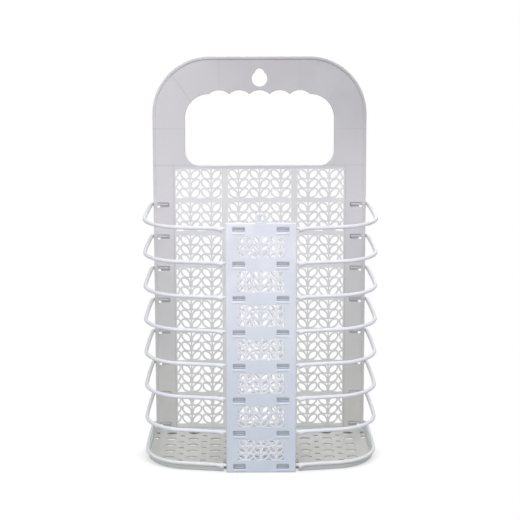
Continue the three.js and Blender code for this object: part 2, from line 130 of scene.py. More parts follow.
# Adds a node. An input takes a plain value, a node, one of a node's outputs, or a list of these to join.
def addNode(tree, kind, inputs=None, **settings):
    node = tree.nodes.new(kind)
    for key, value in settings.items():
        setattr(node, key, value)
    for key, value in (inputs or {}).items():
        sources = value if isinstance(value, list) else [value]
        if not isinstance(sources[0], (bpy.types.Node, bpy.types.NodeSocket)):
            node.inputs[key].default_value = value
            continue
        for source in sources:
            if isinstance(source, bpy.types.Node):
                source = source.outputs[0]
            tree.links.new(source, node.inputs[key])
    return node


# A tree with named inputs, and the shapes of the objects among them
def newTree(name, objects, sizes=()):
    tree = bpy.data.node_groups.new(name, "GeometryNodeTree")
    kinds = [(label, "NodeSocketObject") for label in objects] + list(sizes)
    for label, kind in kinds + [("Material", "NodeSocketMaterial")]:
        tree.interface.new_socket(label, in_out="INPUT", socket_type=kind)
    tree.interface.new_socket("Geometry", in_out="OUTPUT", socket_type="NodeSocketGeometry")
    given = addNode(tree, "NodeGroupInput").outputs
    shapes = [addNode(tree, "GeometryNodeObjectInfo", {"Object": given[label]}).outputs["Geometry"]
              for label in objects]
    return tree, given, shapes


# Every tree ends with one real mesh in its material
def endTree(tree, given, shape):
    whole = addNode(tree, "GeometryNodeRealizeInstances", {"Geometry": shape})
    coated = addNode(tree, "GeometryNodeSetMaterial", {"Geometry": whole, "Material": given["Material"]})
    addNode(tree, "NodeGroupOutput", {"Geometry": coated})
    return tree


def placed(name, data):
    helper = bpy.data.objects.new(name, data)
    scene.collection.objects.link(helper)
    return helper


def outlineObject(name, outlines, cyclic=True, radii=None):
    curve = bpy.data.curves.new(name, "CURVE")
    curve.dimensions = "3D"
    for outline in outlines:
        spline = curve.splines.new("POLY")
        spline.points.add(len(outline) - 1)
        spline.use_cyclic_u = cyclic
        for index, place in enumerate(outline):
            spline.points[index].co = (place[0], place[1], 0, 1)
            spline.points[index].radius = radii[index] if radii else 1
    return placed(name, curve)


def meshObject(name, vertices, faces=()):
    mesh = bpy.data.meshes.new(name)
    mesh.from_pydata([tuple(vertex) for vertex in vertices], [], [list(face) for face in faces])
    return placed(name, mesh)


def hostedTree(name, tree, settings):
    host = meshObject(name, [])
    modifier = host.modifiers.new("Nodes", "NODES")
    modifier.node_group = tree
    for item in tree.interface.items_tree:
        if item.in_out == "INPUT" and item.name in settings:
            modifier[item.identifier] = settings[item.name]
    return host


def softenEdges(thing, width, segments=1):
    bevel = thing.modifiers.new("Bevel", "BEVEL")
    bevel.width = width
    bevel.segments = segments
    bevel.limit_method = "ANGLE"
    bevel.angle_limit = math.radians(meshing["bevelAngle"])
    bevel.use_clamp_overlap = False


def cutWith(thing, cutter):
    boolean = thing.modifiers.new("Cut", "BOOLEAN")
    boolean.operation = "DIFFERENCE"
    boolean.solver = "EXACT"
    boolean.object = cutter


# Turns a helper into its finished piece: a plain mesh in metres, at the origin, riding on its body.
def finishPiece(helper, name, body, material, matrix=Matrix.Identity(4), replaced=()):
    graph = bpy.context.evaluated_depsgraph_get()
    mesh = bpy.data.meshes.new_from_object(helper.evaluated_get(graph), depsgraph=graph)
    mesh.transform(Matrix.Scale(mm, 4) @ matrix)
    mesh.materials.clear()
    mesh.materials.append(material)
    mesh.polygons.foreach_set("material_index", [0] * len(mesh.polygons))
    mesh.shade_smooth()
    mesh.set_sharp_from_angle(angle=math.radians(meshing["sharpAngle"]))
    mesh.name = name
    bpy.data.objects.remove(helper)
    piece = placed(name, mesh)
    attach(piece, body)
    if replaced:
        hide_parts(*replaced)
    print(name, "done")


def dropHelpers(*helpers):
    for helper in helpers:
        bpy.data.objects.remove(helper)


# Pulls an outline straight to a solid between two heights
def prism(outline, low, high):
    count = len(outline)
    vertices = [(u, v, low) for u, v in outline] + [(u, v, high) for u, v in outline]
    faces = [list(range(count))[::-1], list(range(count, 2 * count))]
    faces += [[i, (i + 1) % count, count + (i + 1) % count, count + i] for i in range(count)]
    return vertices, faces


def gathered(parts):
    vertices, faces = [], []
    for partVertices, partFaces in parts:
        start = len(vertices)
        vertices += partVertices
        faces += [[start + corner for corner in face] for face in partFaces]
    return vertices, faces


def turned(part, matrix):
    return [matrix @ Vector(vertex) for vertex in part[0]], part[1]


# Carries a profile of (inset, height) points round a closed outline, mitred at its corners
def sweepRound(outline, profileAt):
    count = len(outline)
    vertices = []
    for index, point in enumerate(outline):
        here = Vector(point)
        before = (here - Vector(outline[index - 1])).normalized()
        after = (Vector(outline[(index + 1) % count]) - here).normalized()
        inward = Vector((-before.y - after.y, before.x + after.x)).normalized()
        stretch = 1 / max(meshing["leastMitre"], inward.dot(Vector((-before.y, before.x))))
        for inset, height in profileAt(index):
            place = here + inward * inset * stretch
            vertices.append((place.x, place.y, height))
    width = len(vertices) // count
    faces = []
    for i in range(count):
        for j in range(width):
            a, b = i * width, (i + 1) % count * width
            faces.append([a + j, b + j, b + (j + 1) % width, a + (j + 1) % width])
    return vertices, faces


def facedOut(helper):
    solid = bmesh.new()
    solid.from_mesh(helper.data)
    bmesh.ops.recalc_face_normals(solid, faces=solid.faces)
    solid.to_mesh(helper.data)
    solid.free()
    return helper


alongX = Matrix(((0, 0, 1, 0), (1, 0, 0, 0), (0, 1, 0, 0), (0, 0, 0, 1)))   # (u, v, w) lies as y, z, x


# Stands (u, v, w) up as x, z and the way out of a front face at this y
def standing(faceY):
    return Matrix.Translation((0, faceY, 0)) @ Matrix.Rotation(math.radians(90), 4, "X")


def linkMatrix(number):
    return Matrix.Translation(pivots[number]) @ Matrix.Rotation(linkage["droop"], 4, "X")


# A moulded edge carried round an outline that stands at faceY
def standingRim(name, outline, profile, faceY):
    rim = facedOut(meshObject(name, *sweepRound(outline, lambda index: profile)))
    rim.data.transform(standing(faceY))
    return rim


# A cutter that runs each (y, z) outline through both side walls
def sideCutter(outlines, halfWidth, depth, overrun):
    cuts = []
    for outline in outlines:
        for low in (-halfWidth - overrun, halfWidth - depth):
            cuts.append(turned(prism(outline, low, low + depth + overrun), alongX))
    return facedOut(meshObject("cutter", *gathered(cuts)))


# Small mouldings alike, with these (depth, height) profiles, on both sides of the middle plane.
# A row is the distance of their inner ends from that plane, the y of the face they are on, and their heights.
def repeatMoulding(name, body, profiles, length, edge, row, material):
    inner, faceY, heights = row
    half = length / 2
    solids = [turned(prism(profile, -half, half), alongX) for profile in profiles]
    part = facedOut(meshObject("part", *gathered(solids)))
    if edge:
        softenEdges(part, edge)
    middle = inner + half
    places = meshObject("places", [(side * middle, faceY, height) for height in heights for side in (-1, 1)])
    host = hostedTree(name, repeatedMoulding, {"Part": part, "Places": places, "Material": material})
    finishPiece(host, name, body, material)
    dropHelpers(part, places)


def linear(hexColour):
    parts = [int(hexColour[start:start + 2], 16) / 255 for start in (0, 2, 4)]
    return [part / 12.92 if part <= 0.04045 else ((part + 0.055) / 1.055) ** 2.4 for part in parts] + [1]


# White polypropylene, injection moulded: soft waxy gloss, slow flow marks, fine tooth of a spark-eroded tool
finish = {
    "ior": 1.49,                 # polypropylene
    "specular": 0.32,            # a rough, waxy skin throws back less than its IOR would
    "roughness": (0.41, 0.52),
    "grain": 0.9,                # the real tooth is finer, drawn this coarse so that it shows
    "grainDetail": 3.0, "grainRange": (0.3, 0.7), "grainBump": 0.12, "grainDepth": 0.06,
    "cloud": 55.0,               # between flow marks
    "cloudDetail": 2.0, "cloudRange": (0.35, 0.75), "cloudShare": 0.35,
}


# Patterns read the place on the object, in millimetres
def startMaterial(name):
    material = bpy.data.materials.new(name)
    material.use_nodes = True
    tree = material.node_tree
    tree.nodes.clear()
    place = addNode(tree, "ShaderNodeVectorMath", {
        0: addNode(tree, "ShaderNodeTexCoord").outputs["Object"], "Scale": 1 / mm,
    }, operation="SCALE")
    return material, tree, place


# How far a point lies from the middle plane, and its x, y and z
def measured(tree, place):
    axes = addNode(tree, "ShaderNodeSeparateXYZ", {"Vector": place}).outputs
    return addNode(tree, "ShaderNodeMath", {0: axes["X"]}, operation="ABSOLUTE"), axes


# Lays a tone over a colour, as far as each gauge has come from its first value to its second
def tinted(tree, colour, tone, share, *gauges):
    for value, start, full in gauges:
        share = addNode(tree, "ShaderNodeMapRange", {
            "Value": value, "From Min": start, "From Max": full, "To Max": share,
        }, interpolation_type="SMOOTHSTEP")
    # Inputs 6 and 7 and output 2 are the ones for colour
    mix = addNode(tree, "ShaderNodeMix", {0: share, 6: colour, 7: tone}, data_type="RGBA")
    return mix.outputs[2]


# The moulded skin that every piece shares: slow flow marks, a fine grain and a little spread of gloss
def endMaterial(tree, place, colour, cloudTone):
    cloud, grain = [addNode(tree, "ShaderNodeTexNoise", {
        "Vector": place, "Scale": 1 / finish[size], "Detail": finish[size + "Detail"],
    }).outputs["Fac"] for size in ("cloud", "grain")]
    shaded = tinted(tree, colour, cloudTone, finish["cloudShare"], (cloud, *finish["cloudRange"]))
    smooth, rough = finish["roughness"]
    low, high = finish["grainRange"]
    roughness = addNode(tree, "ShaderNodeMapRange", {
        "Value": grain, "From Min": low, "From Max": high, "To Min": smooth, "To Max": rough,
    }, interpolation_type="SMOOTHSTEP")
    bump = addNode(tree, "ShaderNodeBump", {
        "Height": grain, "Strength": finish["grainBump"], "Distance": finish["grainDepth"] * mm,
    })
    skin = addNode(tree, "ShaderNodeBsdfPrincipled", {
        "Base Color": shaded, "Roughness": roughness, "Normal": bump,
        "IOR": finish["ior"], "Specular IOR Level": finish["specular"],
    })
    addNode(tree, "ShaderNodeOutputMaterial", {"Surface": skin})


# A flat plate: its outline runs clockwise and all its holes counter-clockwise, seen from the front.
# Two kinds of hole are repeated at their places. All edges are chamfered.
def plateTree():
    tree, given, (outline, hole, holePlaces, slot, slotPlaces) = newTree(
        "perforatedPlate", ("Outline", "Hole", "Hole places", "Slot", "Slot places"),
        (("Thickness", "NodeSocketFloat"), ("Edge", "NodeSocketFloat")))
    edge, thickness = given["Edge"], given["Thickness"]
    repeats = [addNode(tree, "GeometryNodeInstanceOnPoints", {"Points": places, "Instance": part})
               for part, places in ((hole, holePlaces), (slot, slotPlaces))]
    joined = addNode(tree, "GeometryNodeJoinGeometry", {"Geometry": repeats})
    cuts = addNode(tree, "GeometryNodeRealizeInstances", {"Geometry": joined})
    walls = addNode(tree, "GeometryNodeJoinGeometry", {"Geometry": [cuts, outline]})
    outward = addNode(tree, "ShaderNodeVectorMath", {
        0: addNode(tree, "GeometryNodeInputTangent"), 1: (0, 0, 1),
    }, operation="CROSS_PRODUCT")
    setBack = addNode(tree, "ShaderNodeVectorMath", {0: outward, "Scale": edge}, operation="SCALE")
    rims = addNode(tree, "GeometryNodeSetPosition", {"Geometry": walls, "Offset": setBack})
    face = addNode(tree, "GeometryNodeFillCurve", {"Curve": rims}, mode="TRIANGLES")
    wallPoints, rimPoints = [
        addNode(tree, "GeometryNodeCurveToPoints", {"Curve": curves}, mode="EVALUATED").outputs["Points"]
        for curves in (walls, rims)]

    def downBy(distance):
        depth = addNode(tree, "ShaderNodeMath", {0: distance, 1: -1.0}, operation="MULTIPLY")
        return addNode(tree, "ShaderNodeCombineXYZ", {"Z": depth})

    def swappedPlace(source, target, height):
        nearest = addNode(tree, "GeometryNodeSampleNearest", {"Geometry": source})
        found = addNode(tree, "GeometryNodeSampleIndex", {
            "Geometry": target, "Value": addNode(tree, "GeometryNodeInputPosition"), "Index": nearest,
        }, data_type="FLOAT_VECTOR")
        return addNode(tree, "ShaderNodeVectorMath", {0: found, 1: height}, operation="ADD")

    bothEdges = addNode(tree, "ShaderNodeMath", {0: edge, 1: 2.0}, operation="MULTIPLY")
    straight = addNode(tree, "ShaderNodeMath", {0: thickness, 1: bothEdges}, operation="SUBTRACT")
    body = face
    # Inputs 2 and 3 are the ones for whole numbers
    chosen = addNode(tree, "FunctionNodeCompare", {
        2: addNode(tree, "GeometryNodeInputMeshEdgeNeighbors"), 3: 1,
    }, data_type="INT", operation="EQUAL")
    for distance, places in ((edge, (rimPoints, wallPoints, edge)), (straight, None),
                             (edge, (wallPoints, rimPoints, thickness))):
        grown = addNode(tree, "GeometryNodeExtrudeMesh", {
            "Mesh": body, "Selection": chosen, "Offset": downBy(distance), "Offset Scale": 1.0,
        }, mode="EDGES").outputs
        body, chosen = grown["Mesh"], grown["Top"]
        if places:
            source, target, depth = places
            body = addNode(tree, "GeometryNodeSetPosition", {
                "Geometry": body, "Selection": chosen,
                "Position": swappedPlace(source, target, downBy(depth)),
            })
    flipped = addNode(tree, "GeometryNodeFlipFaces", {"Mesh": face})
    rear = addNode(tree, "GeometryNodeSetPosition", {"Geometry": flipped, "Offset": downBy(thickness)})
    closed = addNode(tree, "GeometryNodeMergeByDistance", {
        "Geometry": addNode(tree, "GeometryNodeJoinGeometry", {"Geometry": [body, rear]}),
        "Distance": meshing["mergeDistance"],
    })
    return endTree(tree, given, closed)


# A round rod along a path, as thick as the path's radius; what is thicker than the plain rod hangs below it
def rodTree():
    tree, given, (path,) = newTree(
        "rodAlongPath", ("Path",), (("Sides", "NodeSocketInt"), ("Plain radius", "NodeSocketFloat")))
    radius, swelling = [addNode(tree, "GeometryNodeInputNamedAttribute", {
        "Name": label,
    }, data_type="FLOAT").outputs["Attribute"] for label in ("radius", "swelling")]
    beyond = addNode(tree, "ShaderNodeMath", {0: radius, 1: given["Plain radius"]}, operation="SUBTRACT")
    marked = addNode(tree, "GeometryNodeStoreNamedAttribute", {
        "Geometry": path, "Name": "swelling",
        "Value": addNode(tree, "ShaderNodeMath", {0: beyond, 1: 0.0}, operation="MAXIMUM"),
    }, data_type="FLOAT")
    section = addNode(tree, "GeometryNodeCurvePrimitiveCircle", {"Radius": 1.0, "Resolution": given["Sides"]})
    swept = addNode(tree, "GeometryNodeCurveToMesh", {
        "Curve": marked, "Profile Curve": section, "Scale": radius, "Fill Caps": True,
    })
    drop = addNode(tree, "ShaderNodeMath", {0: swelling, 1: -1.0}, operation="MULTIPLY")
    below = addNode(tree, "ShaderNodeCombineXYZ", {"Z": drop})
    hung = addNode(tree, "GeometryNodeSetPosition", {"Geometry": swept, "Offset": below})
    return endTree(tree, given, hung)


# The same small moulding at each of its places
def repeatTree():
    tree, given, (part, places) = newTree("repeatedMoulding", ("Part", "Places"))
    copies = addNode(tree, "GeometryNodeInstanceOnPoints", {"Points": places, "Instance": part})
    return endTree(tree, given, copies)


perforatedPlate = plateTree()
rodAlongPath = rodTree()
repeatedMoulding = repeatTree()


# Holes and slots are each given as the outlines of one group and the places of all groups
def buildPlate(name, body, piece, outlines, holes, slots, material, matrix, replaced=()):
    helpers = {"Outline": outlineObject("outline", outlines)}
    for label, (cuts, places) in (("Hole", holes), ("Slot", slots)):
        helpers[label] = outlineObject(label, cuts)
        helpers[label + " places"] = meshObject(label, [(u, v, 0) for u, v in places])
    host = hostedTree(name, perforatedPlate, {
        **helpers, "Thickness": piece["plate"], "Edge": piece["edge"], "Material": material,
    })
    finishPiece(host, name, body, material, matrix, replaced)
    dropHelpers(*helpers.values())


# A right and a left slot, in a row at each height
def slotRows(piece, heights):
    inner, half = piece["slotInner"], piece["slotHeight"] / 2
    slot = roundedBox(inner, inner + piece["slotWidth"], -half, half, piece["slotRound"])
    return [slot, mirroredOutline(slot)], [(0, height - piece["slotDrop"]) for height in heights]


# The leaf lattice: stems with pairs of outlined leaves, row above row
leafShape = {
    "length": 16.0,       # root to tip before the tip is rounded
    "bulge": 4.05,        # half its width
    "tipRadius": 2.3,
    "lean": 46.0,         # degrees from level
    "rootOut": 2.6,       # root's distance from the stem's middle
    "rootUp": 1.9,
    "band": 2.55,         # width of the moulded line round each leaf
    "stem": 2.1,
    "steps": 7, "tipSteps": 4,
    "reach": 24.0,        # no leaf reaches further from its stem
    "cornerCut": 0.45,    # holes' corners are eased by this much
    "cornerShare": 0.45,  # of the shorter edge, at most
    "straight": 140,      # degrees past which a corner is left as it is
    "shortest": 0.02,     # shorter edges are dropped
    "smallest": 1.3,      # holes with less area, in square millimetres, stay closed
}


def leafOutline(stem, side, foot, share, grown):
    half = leafShape["length"] * share / 2
    bulge = leafShape["bulge"] * share
    radius = (half ** 2 + bulge ** 2) / (2 * bulge)
    offset = radius - bulge
    tip = leafShape["tipRadius"] * share
    tipAt = math.sqrt((radius - tip) ** 2 - offset ** 2)
    swing = math.degrees(math.atan2(offset, tipAt))
    rootSwing = math.degrees(math.asin(offset / (radius + grown)))
    lower = arcPoints((0, offset), radius + grown, 180 + rootSwing, 360 - swing, leafShape["steps"])
    end = arcPoints((tipAt, 0), tip + grown, -swing, swing, leafShape["tipSteps"])
    upper = arcPoints((0, -offset), radius + grown, swing, 180 - rootSwing, leafShape["steps"])
    lean = math.radians(leafShape["lean"])
    along = Vector((math.cos(lean), math.sin(lean)))
    root = Vector((leafShape["rootOut"], leafShape["rootUp"])) * share
    points = []
    for u, v in lower + end[1:-1] + upper[:-1]:
        place = root + along * (u + half) + Vector((-along.y, along.x)) * v
        points.append((stem + side * place.x, foot + place.y))
    return points if side > 0 else points[::-1]


def insideOutline(point, outline):
    inside = False
    u, v = point
    for (u1, v1), (u2, v2) in zip(outline, outline[1:] + outline[:1]):
        if (v1 > v) != (v2 > v) and u < u1 + (v - v1) / (v2 - v1) * (u2 - u1):
            inside = not inside
    return inside


def heading(start, end):
    return math.atan2(end.y - start.y, end.x - start.x)


# Walks round each open area of a triangle net and gives its outline
def openOutlines(vertices, triangles):
    edges = {(a, b) for face in triangles for a, b in zip(face, face[1:] + face[:1])}
    border = {}
    for a, b in edges:
        if (b, a) not in edges:
            border.setdefault(a, []).append(b)
    outlines = []
    while border:
        start = min(border)
        last, here = None, start
        walk = []
        while last is None or here != start:
            choices = border[here]
            if last is not None and len(choices) > 1:
                point, back = vertices[here], heading(vertices[here], vertices[last])
                choices.sort(key=lambda other: (back - heading(point, vertices[other])) % (2 * math.pi),
                             reverse=True)
            following = choices.pop()
            if not choices:
                del border[here]
            walk.append(here)
            last, here = here, following
        outlines.append([tuple(vertices[index]) for index in walk])
    return outlines


def outlineArea(outline):
    return sum(u1 * v2 - u2 * v1 for (u1, v1), (u2, v2) in zip(outline, outline[1:] + outline[:1])) / 2


# Eases each sharp corner of a hole, as a moulding tool does
def easedCorners(outline, cut):
    eased = []
    count = len(outline)
    for index in range(count):
        here = Vector(outline[index])
        before = Vector(outline[index - 1]) - here
        after = Vector(outline[(index + 1) % count]) - here
        if min(before.length, after.length) < leafShape["shortest"]:
            continue
        if before.angle(after) > math.radians(leafShape["straight"]):
            eased.append(tuple(here))
            continue
        reach = min(cut, leafShape["cornerShare"] * min(before.length, after.length))
        first, second = here + before.normalized() * reach, here + after.normalized() * reach
        eased += [tuple(first), tuple((first + second) / 4 + here / 2), tuple(second)]
    return eased


# The holes of one lattice block in a piece's plate, its stems evenly spaced from the left
def latticeHoles(left, right, piece):
    share, height, tight = piece["share"], piece["blockHeight"], piece["tight"]
    stems = [left + (index + 0.5) * piece["stemPitch"] for index in range(piece["stems"])]
    leaves, bands = [], []
    for stem in stems:
        for row in range(piece["rows"]):
            for side in (-1, 1):
                place = (stem, side, row * piece["rowPitch"], share)
                leaves.append(leafOutline(*place, -tight))
                bands.append(leafOutline(*place, leafShape["band"] * share + tight))
    halfStem = leafShape["stem"] * share / 2 + tight
    posts = [boxOutline(stem - halfStem, stem + halfStem, -halfStem, height + halfStem) for stem in stems]
    points, edges = [], []
    for outline in leaves + bands + posts + [boxOutline(left, right, 0, height)]:
        start, count = len(points), len(outline)
        points += [Vector(point) for point in outline]
        edges += [(start + index, start + (index + 1) % count) for index in range(count)]
    vertices, _, faces, _, _, _ = delaunay_2d_cdt(points, edges, [], 0, meshing["netTolerance"])
    openFaces = []
    for face in faces:
        middle = sum((vertices[index] for index in face), Vector((0, 0))) / len(face)
        if not (left < middle.x < right and 0 < middle.y < height):
            continue
        near = [index for index in range(len(leaves))
                if abs(stems[index // (2 * piece["rows"])] - middle.x) < leafShape["reach"] * share]
        inLeaf, inBand = [any(insideOutline(middle, outlines[index]) for index in near)
                          for outlines in (leaves, bands)]
        if inLeaf or not (inBand or any(abs(stem - middle.x) < halfStem for stem in stems)):
            openFaces.append(list(face))
    smallest = leafShape["smallest"] * share ** 2
    return [easedCorners(outline, leafShape["cornerCut"] * share)
            for outline in openOutlines(vertices, openFaces) if outlineArea(outline) > smallest]


panel = {
    "width": 328.6, "head": 226.6,       # heights in this list are from the highest pivot
    "headCorner": 88, "headSteps": 36, "footCorner": 6, "footSteps": 6,
    "plate": 2.2, "edge": 0.28, "plateInset": 1.2,
    "rimWidth": 4.5, "rimRise": 1.2, "rimRound": 1.4, "flange": 11, "wall": 2.2, "wallRound": 0.4,
    "buried": 1.4,                       # rims and ribs reach this deep into the plate
    "collarRise": 0.04, "collarRound": 1.0,
    "handleWidth": 230, "handleFloor": 60, "handleFloorCorner": 22.5, "floorSteps": 10, "topSteps": 18,
    "scallops": 5, "scallopPitch": 31, "scallopRise": 6, "scallopPeak": 175.6, "scallopSteps": 10,
    "bowlHeight": 193, "bowlRadius": 11.9, "bowlSteps": 28,
    "lobeHeight": 201.2, "lobeRadius": 7.3, "lobeSteps": 14,
    "slotInner": 140.4, "slotWidth": 18, "slotHeight": 7.6, "slotDrop": 1, "slotRound": 1.2,   # at the pins
    "blocks": 8, "blockPitch": 51.4, "highestBlock": 32, "blockHeight": 44.5,
    "sideInner": 58.6, "sideWidth": 71.5,
    "stems": 3, "stemPitch": 32.67, "rows": 3, "rowPitch": 14.57, "share": 1, "tight": 0,
    "ribThickness": 1.6, "ribDepth": 6, "ribOverlap": 1, "ribEdge": 0.4, "ribEdgeSteps": 2,
    "sideRib": 132.6, "headRib": 62, "shoulderRib": 116.7, "waistRib": 60.5,
    "cornerRibOuter": (131, 195), "cornerRibInner": (106, 159),
    "pinRadius": 2.5, "clearance": 0.3,
    "saddleWall": 1.6, "saddleLip": 6.2, "saddleLength": 14, "saddleRound": 1.3, "saddleEdge": 0.25,
    "lipRound": 0.6,
    "lowTone": "d6d5d1",                 # behind the hoops: warmer
    "middleTone": "d6d4d8", "middleAt": 0.62,
    "highTone": "bdbbbe",                # head: painted shade, a darker grey for light falling off towards the top
    "toneHeights": (-375, 227), "litShadeWidth": 150,
    "litTone": "e6e4e9", "litShare": 0.33, "litHeights": (-120, 0),       # painted light: upper left, a little lighter
    "shadeTone": "a8a8ab", "shadeShare": 0.5, "shadeHeights": (60, 200),  # painted shade: upper right corner, darker
    "piercedTone": "f4f4f5", "piercedShare": 0.43,       # painted light: thin bars between the leaves, lighter for the white light coming through them
    "piercedAcross": (132.5, 128.5), "piercedHeights": (58, 53),
    "sinkTone": "a9a9ae", "sinkShare": 0.3,              # painted shade: dark lines over the ribs, where the plate has faint sink marks
    "sinkReach": (1.5, 0.45), "sinkFade": 0.1,
    "cloudTone": "cccbd1",
}
panelTop = topPivot + panel["head"]


def panelPlastic():
    material, tree, place = startMaterial("polypropyleneMouldedPanel")
    across, axes = measured(tree, place)

    def heights(name):
        return axes["Z"], *[topPivot + height for height in panel[name]]

    # Tones ramp with height; the darker head is painted shade, for light falling off towards the top
    value, low, high = heights("toneHeights")
    ramp = addNode(tree, "ShaderNodeValToRGB", {
        "Fac": addNode(tree, "ShaderNodeMapRange", {
            "Value": value, "From Min": low, "From Max": high,
        }, interpolation_type="SMOOTHSTEP"),
    })
    colours = ramp.color_ramp.elements
    colours[0].color = linear(panel["lowTone"])
    colours[1].color = linear(panel["highTone"])
    colours.new(panel["middleAt"]).color = linear(panel["middleTone"])

    toned = ramp.outputs["Color"]
    # Painted light on the upper left, painted shade in the upper right corner, painted light on the lattice's
    # thin bars
    for name, gauge in (
        ("lit", (axes["X"], 0.0, -panel["litShadeWidth"])),
        ("shade", (axes["X"], 0.0, panel["litShadeWidth"])),
        ("pierced", (across, *panel["piercedAcross"])),
    ):
        toned = tinted(tree, toned, linear(panel[name + "Tone"]), panel[name + "Share"],
                       gauge, heights(name + "Heights"))

    # Faint sink marks over the ribs behind the plate, drawn as painted shade: darker lines, each from one
    # (across, height) on towards another
    mirrored = addNode(tree, "ShaderNodeVectorMath", {0: place}, operation="ABSOLUTE")
    for start, towards in (
        ((panel["headRib"], panel["scallopPeak"]), (panel["headRib"], panel["head"])),
        ((0, panel["shoulderRib"]), (panel["width"], panel["shoulderRib"])),
        ((0, panel["waistRib"]), (panel["width"], panel["waistRib"])),
        ((panel["sideRib"], panel["waistRib"]), (panel["sideRib"], -topPivot)),
        (panel["cornerRibInner"], panel["cornerRibOuter"]),
    ):
        first, last = [Vector((across, 0, topPivot + height)) for across, height in (start, towards)]
        along = (last - first).normalized()
        fromFirst = addNode(tree, "ShaderNodeVectorMath", {0: mirrored, 1: first}, operation="SUBTRACT")
        gone, aside = [addNode(tree, "ShaderNodeVectorMath", {
            0: fromFirst, 1: way,
        }, operation="DOT_PRODUCT").outputs["Value"] for way in (along, (along.z, 0, -along.x))]
        away = addNode(tree, "ShaderNodeMath", {0: aside}, operation="ABSOLUTE")
        toned = tinted(tree, toned, linear(panel["sinkTone"]), panel["sinkShare"],
                       (away, *panel["sinkReach"]), (gone, 0.0, panel["sinkFade"]))
    endMaterial(tree, place, toned, linear(panel["cloudTone"]))
    return material


panelMaterial = panelPlastic()
print("panel material ready")


def panelOutline(inset):
    half = panel["width"] / 2
    head, foot = panel["headCorner"], panel["footCorner"]
    right = (arcPoints((half - foot, foot), foot - inset, -90, 0, panel["footSteps"])
             + arcPoints((half - head, panelTop - head), head - inset, 0, 90, panel["headSteps"]))
    return right + mirroredOutline(right)


def handleOutline(grown):
    half = panel["handleWidth"] / 2
    pitch, rise = panel["scallopPitch"], panel["scallopRise"]
    span = panel["scallops"] * pitch
    radius = ((pitch / 2) ** 2 + rise ** 2) / (2 * rise)
    peak = topPivot + panel["scallopPeak"]
    corner = half - span / 2
    sweep = math.degrees(math.asin(pitch / 2 / (radius + grown)))
    floorCorner = panel["handleFloorCorner"]
    floor = topPivot + panel["handleFloor"]
    lower, upper = (half - floorCorner, floor + floorCorner), (span / 2, peak - rise - corner)
    right = arcPoints(lower, floorCorner + grown, -90, 0, panel["floorSteps"])
    right += arcPoints(upper, corner + grown, 0, 90, panel["topSteps"])[:-1]
    ridge = []
    for index in range(panel["scallops"]):
        centre = (span / 2 - (index + 0.5) * pitch, peak - radius)
        arc = arcPoints(centre, radius + grown, 90 - sweep, 90 + sweep, panel["scallopSteps"])
        ridge += arc[1:] if index else arc
    return right + ridge + mirroredOutline(right)


def keyholeOutline():
    bowl, lobe = panel["bowlRadius"], panel["lobeRadius"]
    rise = panel["lobeHeight"] - panel["bowlHeight"]
    crossing = (bowl ** 2 - lobe ** 2 + rise ** 2) / (2 * rise)
    bowlTurn = math.degrees(math.asin(crossing / bowl))
    lobeTurn = math.degrees(math.asin((crossing - rise) / lobe))
    bowlCentre, lobeCentre = [(0, topPivot + panel[name]) for name in ("bowlHeight", "lobeHeight")]
    points = arcPoints(bowlCentre, bowl, -180 - bowlTurn, bowlTurn, panel["bowlSteps"])
    return points + arcPoints(lobeCentre, lobe, lobeTurn, 180 - lobeTurn, panel["lobeSteps"])[1:-1]


def buildPanelPlate():
    middleHalf = panel["stems"] * panel["stemPitch"] / 2
    side = latticeHoles(panel["sideInner"], panel["sideInner"] + panel["sideWidth"], panel)
    holes = latticeHoles(-middleHalf, middleHalf, panel) + side + [mirroredOutline(hole) for hole in side]
    firstFoot = topPivot + panel["highestBlock"] - panel["blockHeight"] / 2
    places = [(0, firstFoot - index * panel["blockPitch"]) for index in range(panel["blocks"])]
    inset = panel["plateInset"]
    outlines = [panelOutline(inset)[::-1], handleOutline(inset), keyholeOutline()]
    buildPlate("panel_plate", "panel", panel, outlines, (holes, places), slotRows(panel, pivotHeights),
               panelMaterial, standing(frontY), ["back_panel"])


def buildPanelRim():
    wall, depth, rise, band = panel["wall"], panel["flange"], panel["rimRise"], panel["rimWidth"]
    buried, crown, ease = panel["buried"], panel["rimRound"], panel["wallRound"]
    rim = standingRim("rim", panelOutline(0), roundedOutline([
        (band, -buried), (band, rise, crown), (0, rise, crown),
        (0, -depth, ease), (wall, -depth, ease), (wall, -buried),
    ]), frontY)
    bore = panel["pinRadius"] + panel["clearance"]
    bores = [moved(ellipse(2 * bore, 2 * bore), pivot.y, pivot.z) for pivot in pivots]
    cutter = sideCutter(bores, panel["width"] / 2, 2 * wall, wall)
    cutWith(rim, cutter)
    finishPiece(rim, "panel_rim", "panel", panelMaterial)
    dropHelpers(cutter)


def buildPanelCollar():
    proud, wall, depth, ease = panel["collarRise"], panel["wall"], panel["flange"], panel["wallRound"]
    collar = standingRim("collar", handleOutline(0), roundedOutline([
        (0, proud, panel["collarRound"]), (-wall, proud, ease), (-wall, -depth, ease), (0, -depth, ease),
    ]), frontY)
    finishPiece(collar, "panel_collar", "panel", panelMaterial)


